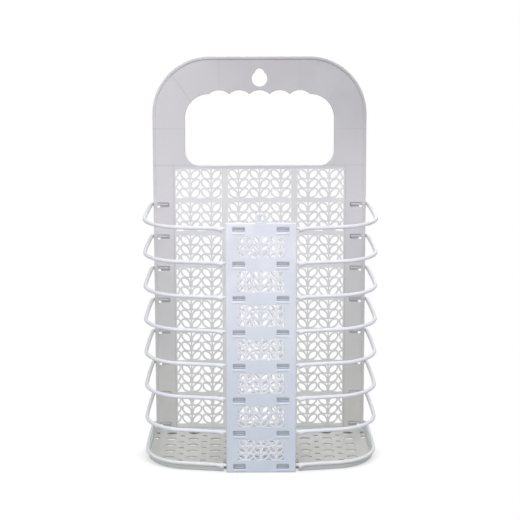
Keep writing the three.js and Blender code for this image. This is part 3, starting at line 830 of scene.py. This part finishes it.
def buildPanelRibs():
    half, overlap = panel["ribThickness"] / 2, panel["ribOverlap"]
    wallX, peak = panel["width"] / 2 - overlap, topPivot + panel["scallopPeak"]
    shoulder, waist = topPivot + panel["shoulderRib"], topPivot + panel["waistRib"]
    outer, inner = [Vector((across, topPivot + height))
                    for across, height in (panel["cornerRibOuter"], panel["cornerRibInner"])]
    along = (outer - inner).normalized()
    side = Vector((-along.y, along.x)) * half
    outlines = [
        boxOutline(panel["headRib"] - half, panel["headRib"] + half, peak, panelTop - overlap),
        boxOutline(panel["handleWidth"] / 2 + overlap, wallX, shoulder - half, shoulder + half),
        boxOutline(panel["sideRib"], wallX, waist - half, waist + half),
        boxOutline(panel["sideRib"] - half, panel["sideRib"] + half, overlap, waist),
        [tuple(inner - side), tuple(outer - side), tuple(outer + side), tuple(inner + side)],
    ]
    rear = -panel["plate"] - panel["ribDepth"]
    parts = [prism(shape, rear, -panel["buried"]) for outline in outlines
             for shape in (outline, mirroredOutline(outline))]
    ribs = facedOut(meshObject("ribs", *gathered(parts)))
    softenEdges(ribs, panel["ribEdge"], panel["ribEdgeSteps"])
    finishPiece(ribs, "panel_ribs", "panel", panelMaterial, standing(frontY))


def buildPanelSaddles():
    top = panel["pinRadius"] + panel["clearance"]
    front, jaw = panel["buried"], linkage["pivotSetback"]
    back = jaw + top
    wall, lip, ease = panel["saddleWall"], -panel["saddleLip"], panel["saddleRound"]
    profile = roundedOutline([
        (front, top + wall), (front, top), (back, top, ease), (back, -top, ease), (jaw, -top),
        (jaw, lip, panel["lipRound"]), (back + wall, lip), (back + wall, top + wall, ease),
    ])
    repeatMoulding("panel_saddles", "panel", [profile], panel["saddleLength"], panel["saddleEdge"],
                   (panel["slotInner"], frontY, pivotHeights), panelMaterial)


buildPanelPlate()
buildPanelRim()
buildPanelCollar()
buildPanelRibs()
buildPanelSaddles()


rod = {
    "radius": 2.8, "sides": 20,
    "sideGap": 0.9,                      # between the panel's side and the rod
    "flare": 3.2, "flareSteps": 6,       # how far the sides spread on their way to the corner
    "cornerRadius": 65, "cornerReach": 107, "cornerSteps": 24,
    "shoulder": 55, "shoulderLength": 11, "shoulderRadius": 4.2, "shoulderSteps": 8,
    "shoulderEase": 0.8, "easeSteps": 3, "neckRadius": 2.3, "crease": 0.1,
    "pinRadius": 2.5, "pinEnd": 141.4, "pinEase": 0.4, "bend": 3.1, "bendSteps": 7,
    "tone": "e6e7ed", "cloudTone": "dcdde3",
    "neckShadeTone": "c4c6c8", "neckShadeTo": 48,              # necks, painted darker as shade: they lie in shadow behind the strip's slots
    "rootShadeTone": "cfd0d1", "rootFrom": -20, "rootTo": 75,  # painted shade: the sides greyer towards the pins
    "pinTo": 160, "toneFade": 4,
}
rootSpan = panel["width"] / 2 + rod["sideGap"] + rod["radius"]
cornerCentre = Vector((rootSpan + rod["flare"] - rod["cornerRadius"], rod["cornerReach"]))
toShoulder = Vector((rod["shoulder"], linkage["linkLength"])) - cornerCentre
cornerSweep = math.atan2(toShoulder.y, toShoulder.x) - math.acos(rod["cornerRadius"] / toShoulder.length)


def cornerPoint(angle, inset):
    return cornerCentre + Vector((math.cos(angle), math.sin(angle))) * (rod["cornerRadius"] - inset)


# The right half of a rod as (x, reach, radius), from the pin's end to the middle of the neck
def halfRod():
    bend, reach, radius, pin = rod["bend"], linkage["linkLength"], rod["radius"], rod["pinRadius"]
    start, end = cornerPoint(0, 0), cornerPoint(cornerSweep, 0)
    stations = [(rod["pinEnd"], 0, pin - rod["pinEase"]), (rod["pinEnd"] + rod["pinEase"], 0, pin),
                (rootSpan - bend, 0, pin)]
    for step in range(1, rod["bendSteps"] + 1):
        share = step / rod["bendSteps"]
        angle = math.radians(90 * share - 90)
        stations.append((rootSpan - bend + bend * math.cos(angle), bend + bend * math.sin(angle),
                         pin + (radius - pin) * share))
    for step in range(1, rod["flareSteps"] + 1):
        share = step / rod["flareSteps"]
        spread = (start.x - rootSpan) * math.sin(share * math.pi / 2)
        stations.append((rootSpan + spread, bend + (start.y - bend) * share, radius))
    for step in range(1, rod["cornerSteps"] + 1):
        point = cornerPoint(cornerSweep * step / rod["cornerSteps"], 0)
        stations.append((point.x, point.y, radius))
    shoulder, swollen, ease = rod["shoulder"], rod["shoulderRadius"], rod["shoulderEase"]
    flareStart = shoulder + rod["shoulderLength"]
    slope = (reach - end.y) / (end.x - shoulder)
    for step in range(rod["shoulderSteps"] + 1):
        share = step / rod["shoulderSteps"]
        x = flareStart + (shoulder + ease - flareStart) * share
        smooth = share * share * (3 - 2 * share)
        stations.append((x, reach - slope * (x - shoulder), radius + (swollen - radius) * smooth))
    for step in range(1, rod["easeSteps"] + 1):
        angle = math.radians(90 * step / rod["easeSteps"])
        x = shoulder + ease * (1 - math.sin(angle))
        stations.append((x, reach, swollen - ease * (1 - math.cos(angle))))
    return stations + [(shoulder - rod["crease"], reach, rod["neckRadius"]), (0, reach, rod["neckRadius"])]


# A hoop's rod or the tray's, on the link of this number, in the place of one node of the solids
def buildRod(name, body, number, node, material):
    right = halfRod()
    stations = right[:-1] + [(-x, reach, radius) for x, reach, radius in reversed(right)]
    places, radii = [(x, -reach) for x, reach, _ in stations], [radius for _, _, radius in stations]
    path = outlineObject("path", [places], False, radii)
    host = hostedTree("rod", rodAlongPath, {
        "Path": path, "Sides": rod["sides"], "Plain radius": rod["radius"], "Material": material,
    })
    finishPiece(host, name, body, material, linkMatrix(number), [node])
    dropHelpers(path)


def rodPlastic(name, tone, cloudTone):
    material, tree, place = startMaterial(name)
    across, axes = measured(tree, place)
    fade, neckShadeEnd = rod["toneFade"], rod["neckShadeTo"]
    # Painted shade: the necks are darker, for the shadow they lie in behind the strip's slots
    toned = tinted(tree, linear(tone), linear(rod["neckShadeTone"]), 1.0, (across, neckShadeEnd + fade, neckShadeEnd))
    # Painted shade: the sides greyer towards the pins, the pins themselves left as they are
    toned = tinted(tree, toned, linear(rod["rootShadeTone"]), 1.0, (axes["Y"], rod["rootFrom"], rod["rootTo"]),
                   (across, rod["pinTo"], rod["pinTo"] + fade))
    endMaterial(tree, place, toned, linear(cloudTone))
    return material


hoopMaterial = rodPlastic("polypropyleneMouldedRod", rod["tone"], rod["cloudTone"])
for number in range(linkage["hoopCount"]):
    hoop = f"hoop_{number + 1}"
    buildRod(hoop + "_rod", hoop, number, hoop, hoopMaterial)


tray = {
    "skirtInset": 1.6, "wall": 1.8, "plate": 1.8, "edge": 0.3, "floorInset": 2.3,
    "skirtTop": 0.6,                     # how far the wall rises into the rim's rod
    "groove": 1.1, "grooveHeight": 0.7, "grooveEase": 0.4, "grooveSteps": 1,
    "footRound": 2, "footDepth": 3.4, "footLap": 0.45, "fillet": 1, "footSteps": 3,
    "heelHeight": 5, "heelGap": 0.45, "heelLength": 4,
    "recessGap": 0.6, "cornerSteps": 20,
    "ovalPitch": 34.6, "ovalRowPitch": 25.7, "columns": 9, "rows": 6, "firstReach": 22,
    "oval": (16, 9), "smallOval": (8.6, 5), "smallOvalSides": 16, "ovalMargin": 2,
    "cornerHoleOffset": 160.4, "cornerHole": (5.6, 8), "cornerHoleRound": 0.8, "cornerHolePitch": 21,
    "tone": "d3d3cf", "cloudTone": "c9c8c1",             # warmer than the hoops
    "skirtTone": "d6dbda", "skirtCloudTone": "ccd1cf",   # painted reflection: cooler, for the floor's light it takes on
    "rimTone": "e5e6e7", "rimCloudTone": "dbdcdd",
    "paintedLightTone": "e3e4e8", "paleAcross": (60, 18),        # painted light: lifts the strip's shadow there
    "paleFacing": (0.4, 0.6),
}


def frontReach(x, inset):
    end = cornerPoint(cornerSweep, inset)
    if x < end.x:
        return end.y + (end.x - x) / math.tan(cornerSweep)
    return cornerCentre.y + math.sqrt((rod["cornerRadius"] - inset) ** 2 - (x - cornerCentre.x) ** 2)


droop = linkage["droop"]
recessDepth = math.hypot(linkage["footBelowNeck"], linkage["neckSetback"]) + tray["recessGap"]
trayFall = frontReach(rod["shoulder"], tray["skirtInset"]) * math.sin(droop)
trayDepth = (pivotHeights[-1] - trayFall) / math.cos(droop)
heelSetback = linkage["pivotSetback"] + trayDepth * math.sin(droop) + panel["rimRise"] + tray["heelGap"]
heelReach = heelSetback / math.cos(droop)
trayMatrix = linkMatrix(linkage["hoopCount"])


# Seen from above, with the front towards -v; gives points and whether the wall stands full height there
def trayOutline(inset):
    skin, heel = tray["skirtInset"] + inset, heelReach + inset
    recessSide = rod["shoulder"] + inset
    recessFront = linkage["linkLength"] - recessDepth - inset
    right = [(recessSide, recessFront), (recessSide, frontReach(recessSide, skin))]
    for step in range(tray["cornerSteps"] + 1):
        right.append(tuple(cornerPoint(cornerSweep * (1 - step / tray["cornerSteps"]), skin)))
    for reach in (heel + tray["heelLength"], heel):
        right.append((rootSpan - skin + rod["flare"] * reach / rod["cornerReach"], reach))
    points = [(x, -reach) for x, reach in right]
    full = [True] * (len(right) - 1) + [False]
    return points + mirroredOutline(points), full + full[::-1]


# Places of one kind of floor hole, left out where they would cut the wall
def ovalPlaces(columns, rows, firstReach, size):
    wall, places = tray["wall"], []
    for column in range(columns):
        for row in range(rows):
            x = (column - (columns - 1) / 2) * tray["ovalPitch"]
            reach = firstReach + row * tray["ovalRowPitch"]
            limit = frontReach(abs(x) + size[0] / 2, tray["skirtInset"] + wall)
            if abs(x) - size[0] / 2 < rod["shoulder"] + wall:
                limit = min(limit, linkage["linkLength"] - recessDepth - wall)
            if reach + size[1] / 2 + tray["ovalMargin"] <= limit:
                places.append((x, -reach))
    return places


def cornerHoles():
    width, length = tray["cornerHole"]
    holes = []
    for sign in (-1, 1):
        for reach in (tray["firstReach"], tray["firstReach"] + tray["cornerHolePitch"]):
            left = sign * tray["cornerHoleOffset"] - width / 2
            bottom = -reach - length / 2
            holes.append(roundedBox(left, left + width, bottom, bottom + length, tray["cornerHoleRound"]))
    return holes


# The floor's upper face is painted paler behind the strip: painted light, for light the strip's white plastic
# lets through, lifting the strip's shadow there
def floorPlastic():
    material, tree, place = startMaterial("polypropyleneMouldedTray")
    normal = addNode(tree, "ShaderNodeTexCoord").outputs["Normal"]
    facing = addNode(tree, "ShaderNodeSeparateXYZ", {"Vector": normal}).outputs["Z"]
    gauges = (measured(tree, place)[0], *tray["paleAcross"]), (facing, *tray["paleFacing"])
    endMaterial(tree, place, *[tinted(tree, linear(tray[tone]), linear(tray["paintedLightTone"]), 1.0, *gauges)
                               for tone in ("tone", "cloudTone")])
    return material


# The tray's plastic again, painted cooler for the floor light reflected on the skirt
def skirtPlastic():
    material, tree, place = startMaterial("polypropyleneMouldedSkirt")
    endMaterial(tree, place, linear(tray["skirtTone"]), linear(tray["skirtCloudTone"]))
    return material


def buildTrayRim():
    material = rodPlastic("polypropyleneMouldedTrayRim", tray["rimTone"], tray["rimCloudTone"])
    buildRod("tray_rim", "tray", linkage["hoopCount"], "bottom_tray", material)


def buildTraySkirt():
    bottom, top, wall, floor = -trayDepth, tray["skirtTop"], tray["wall"], tray["plate"]
    groove, ease = tray["groove"], tray["grooveEase"]
    foot, deep, lap, fillet = tray["footRound"], tray["footDepth"], tray["footLap"], tray["fillet"]
    grooveFoot = -rod["radius"] - tray["grooveHeight"]
    crown = [(groove, top), (groove, grooveFoot)]
    crown += arcPoints((ease, grooveFoot - 2 * ease), ease, 90, 180, tray["grooveSteps"])
    heelTop = bottom + tray["heelHeight"]
    heelCrown = [(0, heelTop - ease * step) for step in range(len(crown))]
    base = arcPoints((foot, bottom + foot), foot, 180, 270, tray["footSteps"])
    base += [(deep, bottom + lap), (deep, bottom + floor - lap)]
    base += arcPoints((wall + fillet, bottom + floor + fillet), fillet, 270, 180, tray["footSteps"])
    profiles = {True: crown + base + [(wall, top)], False: heelCrown + base + [(wall, heelTop)]}
    outline, full = trayOutline(0)
    skirt = facedOut(meshObject("skirt", *sweepRound(outline, lambda index: profiles[full[index]])))
    finishPiece(skirt, "tray_skirt", "tray", skirtPlastic(), trayMatrix)


def buildTrayFloor():
    columns, rows, first = tray["columns"], tray["rows"], tray["firstReach"]
    between = first + tray["ovalRowPitch"] / 2
    ovals = [ellipse(*tray["oval"])], ovalPlaces(columns, rows, first, tray["oval"])
    smallOvals = ([ellipse(*tray["smallOval"], tray["smallOvalSides"])],
                  ovalPlaces(columns - 1, rows - 1, between, tray["smallOval"]))
    outlines = [trayOutline(tray["floorInset"])[0][::-1]] + cornerHoles()
    level = trayMatrix @ Matrix.Translation((0, 0, tray["plate"] - trayDepth))
    buildPlate("tray_floor", "tray", tray, outlines, ovals, smallOvals, floorPlastic(), level)


buildTrayRim()
buildTraySkirt()
buildTrayFloor()


strip = {
    "width": 101.5, "head": 8.1, "plate": 2, "edge": 0.5, "plateInset": 1,
    "depth": 9, "wall": 1.8, "wallRound": 0.4,
    "rimRise": 0.03, "rimBand": 2.4, "rimRound": 1.1, "rimFoot": 2.4,
    "slotInner": 22.9, "slotWidth": 17.7, "slotHeight": 7.4, "slotDrop": 1, "slotRound": 1.1,
    "clearance": 0.3, "notchOverrun": 1.5, "notchSteps": 12,
    "clipWall": 2, "clipFoot": 3.6, "clipFront": 2.5, "clipMouth": 3.8, "clipBack": 3.2,
    "clipRound": 0.5, "mouthRound": 0.3, "clipEdge": 0.2, "clipSteps": 10,
    "jaw": 3.3, "jawDepth": 1.4, "jawRise": 0.8, "jawDrop": 0.3,
    "ledgeGap": 0.1, "ledgeRise": 0.8, "ledgeHeight": 1.9, "ledgeFade": 2.4,
    "ledgeBuried": 0.4, "ledgeProud": 0.02,
    "blockHeight": 31.5, "stems": 3, "stemPitch": 22.2, "rows": 3, "rowPitch": 10.5,
    "share": 0.7, "tight": 0.3,
    "loopWidth": 15.5, "loopHeight": 13.6, "loopHole": (8.1, 10.5), "loopTop": 1.8,
    "loopCorner": 3, "loopCornerSteps": 6, "loopHoleSteps": 12,
    "highTone": "f4f4fd", "lowTone": "d0d8e3",           # the coolest moulding; painted darker and cooler low down as shade, for light falling off towards the bottom
    "toneHeights": (0, 500),
    "piercedTone": "f8f8ff", "piercedShare": 0.42, "piercedFade": 1,      # painted light: thin bars between the leaves, lighter for the light they catch and let through
    "cloudTone": "c6cedb",
}
blockHalf = strip["stems"] * strip["stemPitch"] / 2
clipPitch = neckHeights[0] - neckHeights[1]


def stripPlastic():
    material, tree, place = startMaterial("polypropyleneMouldedStrip")
    across, axes = measured(tree, place)
    height, blockHeight, fade = axes["Z"], strip["blockHeight"], strip["piercedFade"]
    lowestFoot = (neckHeights[-1] + neckHeights[-2] - blockHeight) / 2 - strip["slotDrop"]
    fromLowest = addNode(tree, "ShaderNodeMath", {0: height, 1: lowestFoot}, operation="SUBTRACT")
    fromFoot = addNode(tree, "ShaderNodeMath", {0: fromLowest, 1: clipPitch}, operation="FLOORED_MODULO")
    # Painted shade: darker towards the bottom
    toned = tinted(tree, linear(strip["lowTone"]), linear(strip["highTone"]), 1.0,
                   (height, *strip["toneHeights"]))
    # Painted light on the lattice blocks' thin bars
    edges = (across, blockHalf), (fromFoot, blockHeight), (height, neckHeights[0])
    toned = tinted(tree, toned, linear(strip["piercedTone"]), strip["piercedShare"],
                   *[(value, edge, edge - fade) for value, edge in edges])
    endMaterial(tree, place, toned, linear(strip["cloudTone"]))
    return material


stripMaterial = stripPlastic()
stripBore = rod["neckRadius"] + strip["clearance"]
stripHead, stripFoot = neckHeights[0] + strip["head"], neckHeights[-1] - linkage["footBelowNeck"]
slotFoot = -strip["slotDrop"] - strip["slotHeight"] / 2     # from the neck
clipRow = strip["slotInner"], stripFrontY, neckHeights


def buildStripPlate():
    inset = strip["plateInset"]
    half, loopHalf = strip["width"] / 2 - inset, strip["loopWidth"] / 2
    foot, top, loopTop = stripFoot + inset, stripHead - inset, stripHead + strip["loopHeight"]
    outline = roundedOutline([
        (-half, foot), (half, foot), (half, top), (loopHalf, top),
        (loopHalf, loopTop, strip["loopCorner"]), (-loopHalf, loopTop, strip["loopCorner"]),
        (-loopHalf, top), (-half, top),
    ], strip["loopCornerSteps"])
    holeHalf, holeTop = strip["loopHole"][0] / 2, loopTop - strip["loopTop"]
    holeFoot = holeTop - strip["loopHole"][1]
    loopHole = [(-holeHalf, holeFoot), (holeHalf, holeFoot)]
    loopHole += arcPoints((0, holeTop - holeHalf), holeHalf, 0, 180, strip["loopHoleSteps"])
    below = (clipPitch + strip["blockHeight"]) / 2
    places = [(0, height - strip["slotDrop"] - below) for height in neckHeights[:-1]]
    holes = latticeHoles(-blockHalf, blockHalf, strip), places
    buildPlate("strip_plate", "strip", strip, [outline[::-1], loopHole], holes,
               slotRows(strip, neckHeights), stripMaterial, standing(stripFrontY), ["front_strip"])


def buildStripRim():
    half, depth, wall, proud = strip["width"] / 2, strip["depth"], strip["wall"], strip["rimRise"]
    crown, ease, band = strip["rimRound"], strip["wallRound"], strip["rimBand"]
    rim = standingRim("stripRim", roundedBox(-half, half, stripFoot, stripHead, crown), roundedOutline([
        (band, proud, ease), (0, proud, crown), (0, -depth, ease), (wall, -depth, ease),
        (wall, -strip["rimFoot"]), (band, -crown),
    ]), stripFrontY)
    notches = []
    for height in neckHeights:
        notch = arcPoints((neckY, height), stripBore, 90, 270, strip["notchSteps"])
        notches.append(notch + [(neckY + depth, height - stripBore), (neckY + depth, height + stripBore)])
    cutter = sideCutter(notches, half, wall + strip["notchOverrun"], strip["notchOverrun"])
    cutWith(rim, cutter)
    finishPiece(rim, "strip_rim", "strip", stripMaterial)
    dropHelpers(cutter)


# An upper and a lower jaw behind each slot
def buildStripClips():
    neck, bore = linkage["neckSetback"], stripBore
    back, front, jaw = neck + strip["clipBack"], strip["clipFront"], strip["jaw"]
    low, high = -bore - strip["clipFoot"], bore + strip["clipWall"]
    mouth, crown, ease = strip["clipMouth"] / 2, strip["clipRound"], strip["mouthRound"]
    mouthTurn = math.degrees(math.asin(mouth / bore))
    frontTurn, jawTurn = [math.degrees(math.acos((neck - place) / bore)) for place in (front, jaw)]
    upper = arcPoints((neck, 0), bore, mouthTurn, 180 - frontTurn, strip["clipSteps"])
    lower = arcPoints((neck, 0), bore, 180 + jawTurn, 360 - mouthTurn, strip["clipSteps"])
    jawBack = jaw + strip["jawDepth"]
    profiles = [
        roundedOutline(upper[::-1] + [(back, mouth, ease), (back, high, crown), (front, high)]),
        roundedOutline(lower[::-1] + [
            (jaw, slotFoot + strip["jawRise"]), (jawBack, slotFoot - strip["jawDrop"]), (jawBack, low),
            (back, low, crown), (back, -mouth, ease),
        ]),
    ]
    repeatMoulding("strip_clips", "strip", profiles, strip["slotWidth"], strip["clipEdge"], clipRow,
                   stripMaterial)


# Each slot's lower edge is drawn out to a sloping ledge
def buildStripLedges():
    ledgeTop, rise, proud = slotFoot - strip["ledgeGap"], strip["ledgeRise"], strip["ledgeProud"]
    ledgeFoot, buried = ledgeTop - strip["ledgeHeight"], strip["ledgeBuried"]
    fade = ledgeFoot - strip["ledgeFade"]
    profile = [(buried, ledgeTop), (-proud, ledgeTop), (-rise, ledgeFoot), (-proud, fade), (buried, fade)]
    repeatMoulding("strip_ledges", "strip", [profile], strip["slotWidth"], 0, clipRow, stripMaterial)


buildStripPlate()
buildStripRim()
buildStripClips()
buildStripLedges()


# Places and sizes of the stage are in metres
stage = {
    "floorSize": 16.0,
    "floorMatte": "b8b8b8",              # what the hamper's own undersides see
    "floorShown": "c4c4c4",              # the part of the camera's floor that keeps the shadow
    "floorFar": "000000",                # further out only the white glow is left
    "floorGlow": 0.52, "glowRadius": (0.085, 0.14), "glowSquash": 0.6,
    "world": 0.38, "worldTone": "fbfbff", "white": "ffffff",
    "aim": (0, 0, 0.3),
    "key": {"place": (0.1, -1.15, 2.25), "size": 1.7, "power": 34.5},
    "leftFill": {"place": (-1.5, -2.2, 0.9), "size": 1.5, "power": 15.0},
    "rightFill": {"place": (1.5, -2.2, 0.9), "size": 1.5, "power": 9.0},
    "rearFill": {"place": (0.5, 2.6, 1.6), "size": 1.8, "power": 20.0},
}


# White where the camera, a gloss or a clear view meets it; other light sees a pale matte surface
def whiteShare(tree):
    rays = addNode(tree, "ShaderNodeLightPath").outputs
    seen = rays["Is Camera Ray"]
    for name in ("Is Glossy Ray", "Is Transmission Ray"):
        seen = addNode(tree, "ShaderNodeMath", {0: seen, 1: rays[name]}, operation="MAXIMUM").outputs[0]
    return seen


def floorPaint():
    material, tree, place = startMaterial("paintedStudioFloor")
    squashed = addNode(tree, "ShaderNodeVectorMath", {
        0: place, 1: (stage["glowSquash"], 1, 1),
    }, operation="MULTIPLY")
    distance = addNode(tree, "ShaderNodeVectorMath", {0: squashed}, operation="LENGTH").outputs["Value"]
    shown = whiteShare(tree)
    near, far = [radius / mm for radius in stage["glowRadius"]]
    fade = addNode(tree, "ShaderNodeMapRange", {
        "Value": distance, "From Min": near, "From Max": far,
    }, interpolation_type="SMOOTHSTEP")
    glow = addNode(tree, "ShaderNodeMapRange", {
        "Value": fade, "To Min": stage["floorGlow"],
    }, interpolation_type="SMOOTHSTEP")
    kept = tinted(tree, linear(stage["floorShown"]), linear(stage["floorFar"]), fade)
    matte = addNode(tree, "ShaderNodeBsdfDiffuse", {
        "Color": tinted(tree, linear(stage["floorMatte"]), kept, shown),
    })
    glowing = addNode(tree, "ShaderNodeEmission", {
        "Color": linear(stage["white"]),
        "Strength": addNode(tree, "ShaderNodeMath", {0: shown, 1: glow}, operation="MULTIPLY"),
    })
    both = addNode(tree, "ShaderNodeAddShader", {0: matte, 1: glowing})
    addNode(tree, "ShaderNodeOutputMaterial", {"Surface": both})
    return material


def buildStage():
    half = stage["floorSize"] / 2
    corners = [(u, v, 0) for u, v in boxOutline(-half, half, -half, half)]
    floor = meshObject("floor", corners, [range(len(corners))])
    floor.data.materials.append(floorPaint())

    world = bpy.data.worlds.new("studio")
    scene.world = world
    world.use_nodes = True
    tree = world.node_tree
    tree.nodes.clear()
    soft, white = [addNode(tree, "ShaderNodeBackground", {"Color": linear(stage[tone]), "Strength": strength})
                   for tone, strength in (("worldTone", stage["world"]), ("white", 1.0))]
    mixed = addNode(tree, "ShaderNodeMixShader", {0: whiteShare(tree), 1: soft, 2: white})
    addNode(tree, "ShaderNodeOutputWorld", {"Surface": mixed})

    for name in ("key", "leftFill", "rightFill", "rearFill"):
        setting = stage[name]
        lamp = bpy.data.lights.new(name, "AREA")
        lamp.size = setting["size"]
        lamp.energy = setting["power"]
        light = placed(name, lamp)
        light.location = setting["place"]
        aim = Vector(stage["aim"]) - light.location
        light.rotation_euler = aim.to_track_quat("-Z", "Y").to_euler()
    print("stage done")


view = {
    "target": (0.35, 84.509, 287.6), "distance": 2224.9, "pitch": math.radians(8.992),
    "yaw": math.radians(0.490), "roll": math.radians(-0.091),
    "focal": 1426.7, "frame": 520, "sensor": 36, "clipEnd": 50,     # focal length and frame in pixels
}


def buildCamera():
    lens = bpy.data.cameras.new("photo")
    lens.sensor_width = view["sensor"]
    lens.lens = view["focal"] / view["frame"] * lens.sensor_width
    lens.clip_end = view["clipEnd"]
    camera = placed("photo", lens)
    turn = Matrix.Rotation(-view["yaw"], 3, "Z")
    pitch = view["pitch"]
    away = turn @ Vector((0, -math.cos(pitch), math.sin(pitch)))
    right = turn @ Vector((1, 0, 0))
    up = away.cross(right)
    roll = view["roll"]
    rolledRight = right * math.cos(roll) + up * math.sin(roll)
    rolledUp = up * math.cos(roll) - right * math.sin(roll)
    pose = Matrix((rolledRight, rolledUp, away)).transposed().to_4x4()
    pose.translation = (Vector(view["target"]) + away * view["distance"]) * mm
    camera.matrix_world = pose
    scene.camera = camera
    scene.view_settings.view_transform = "Standard"


buildStage()
buildCamera()
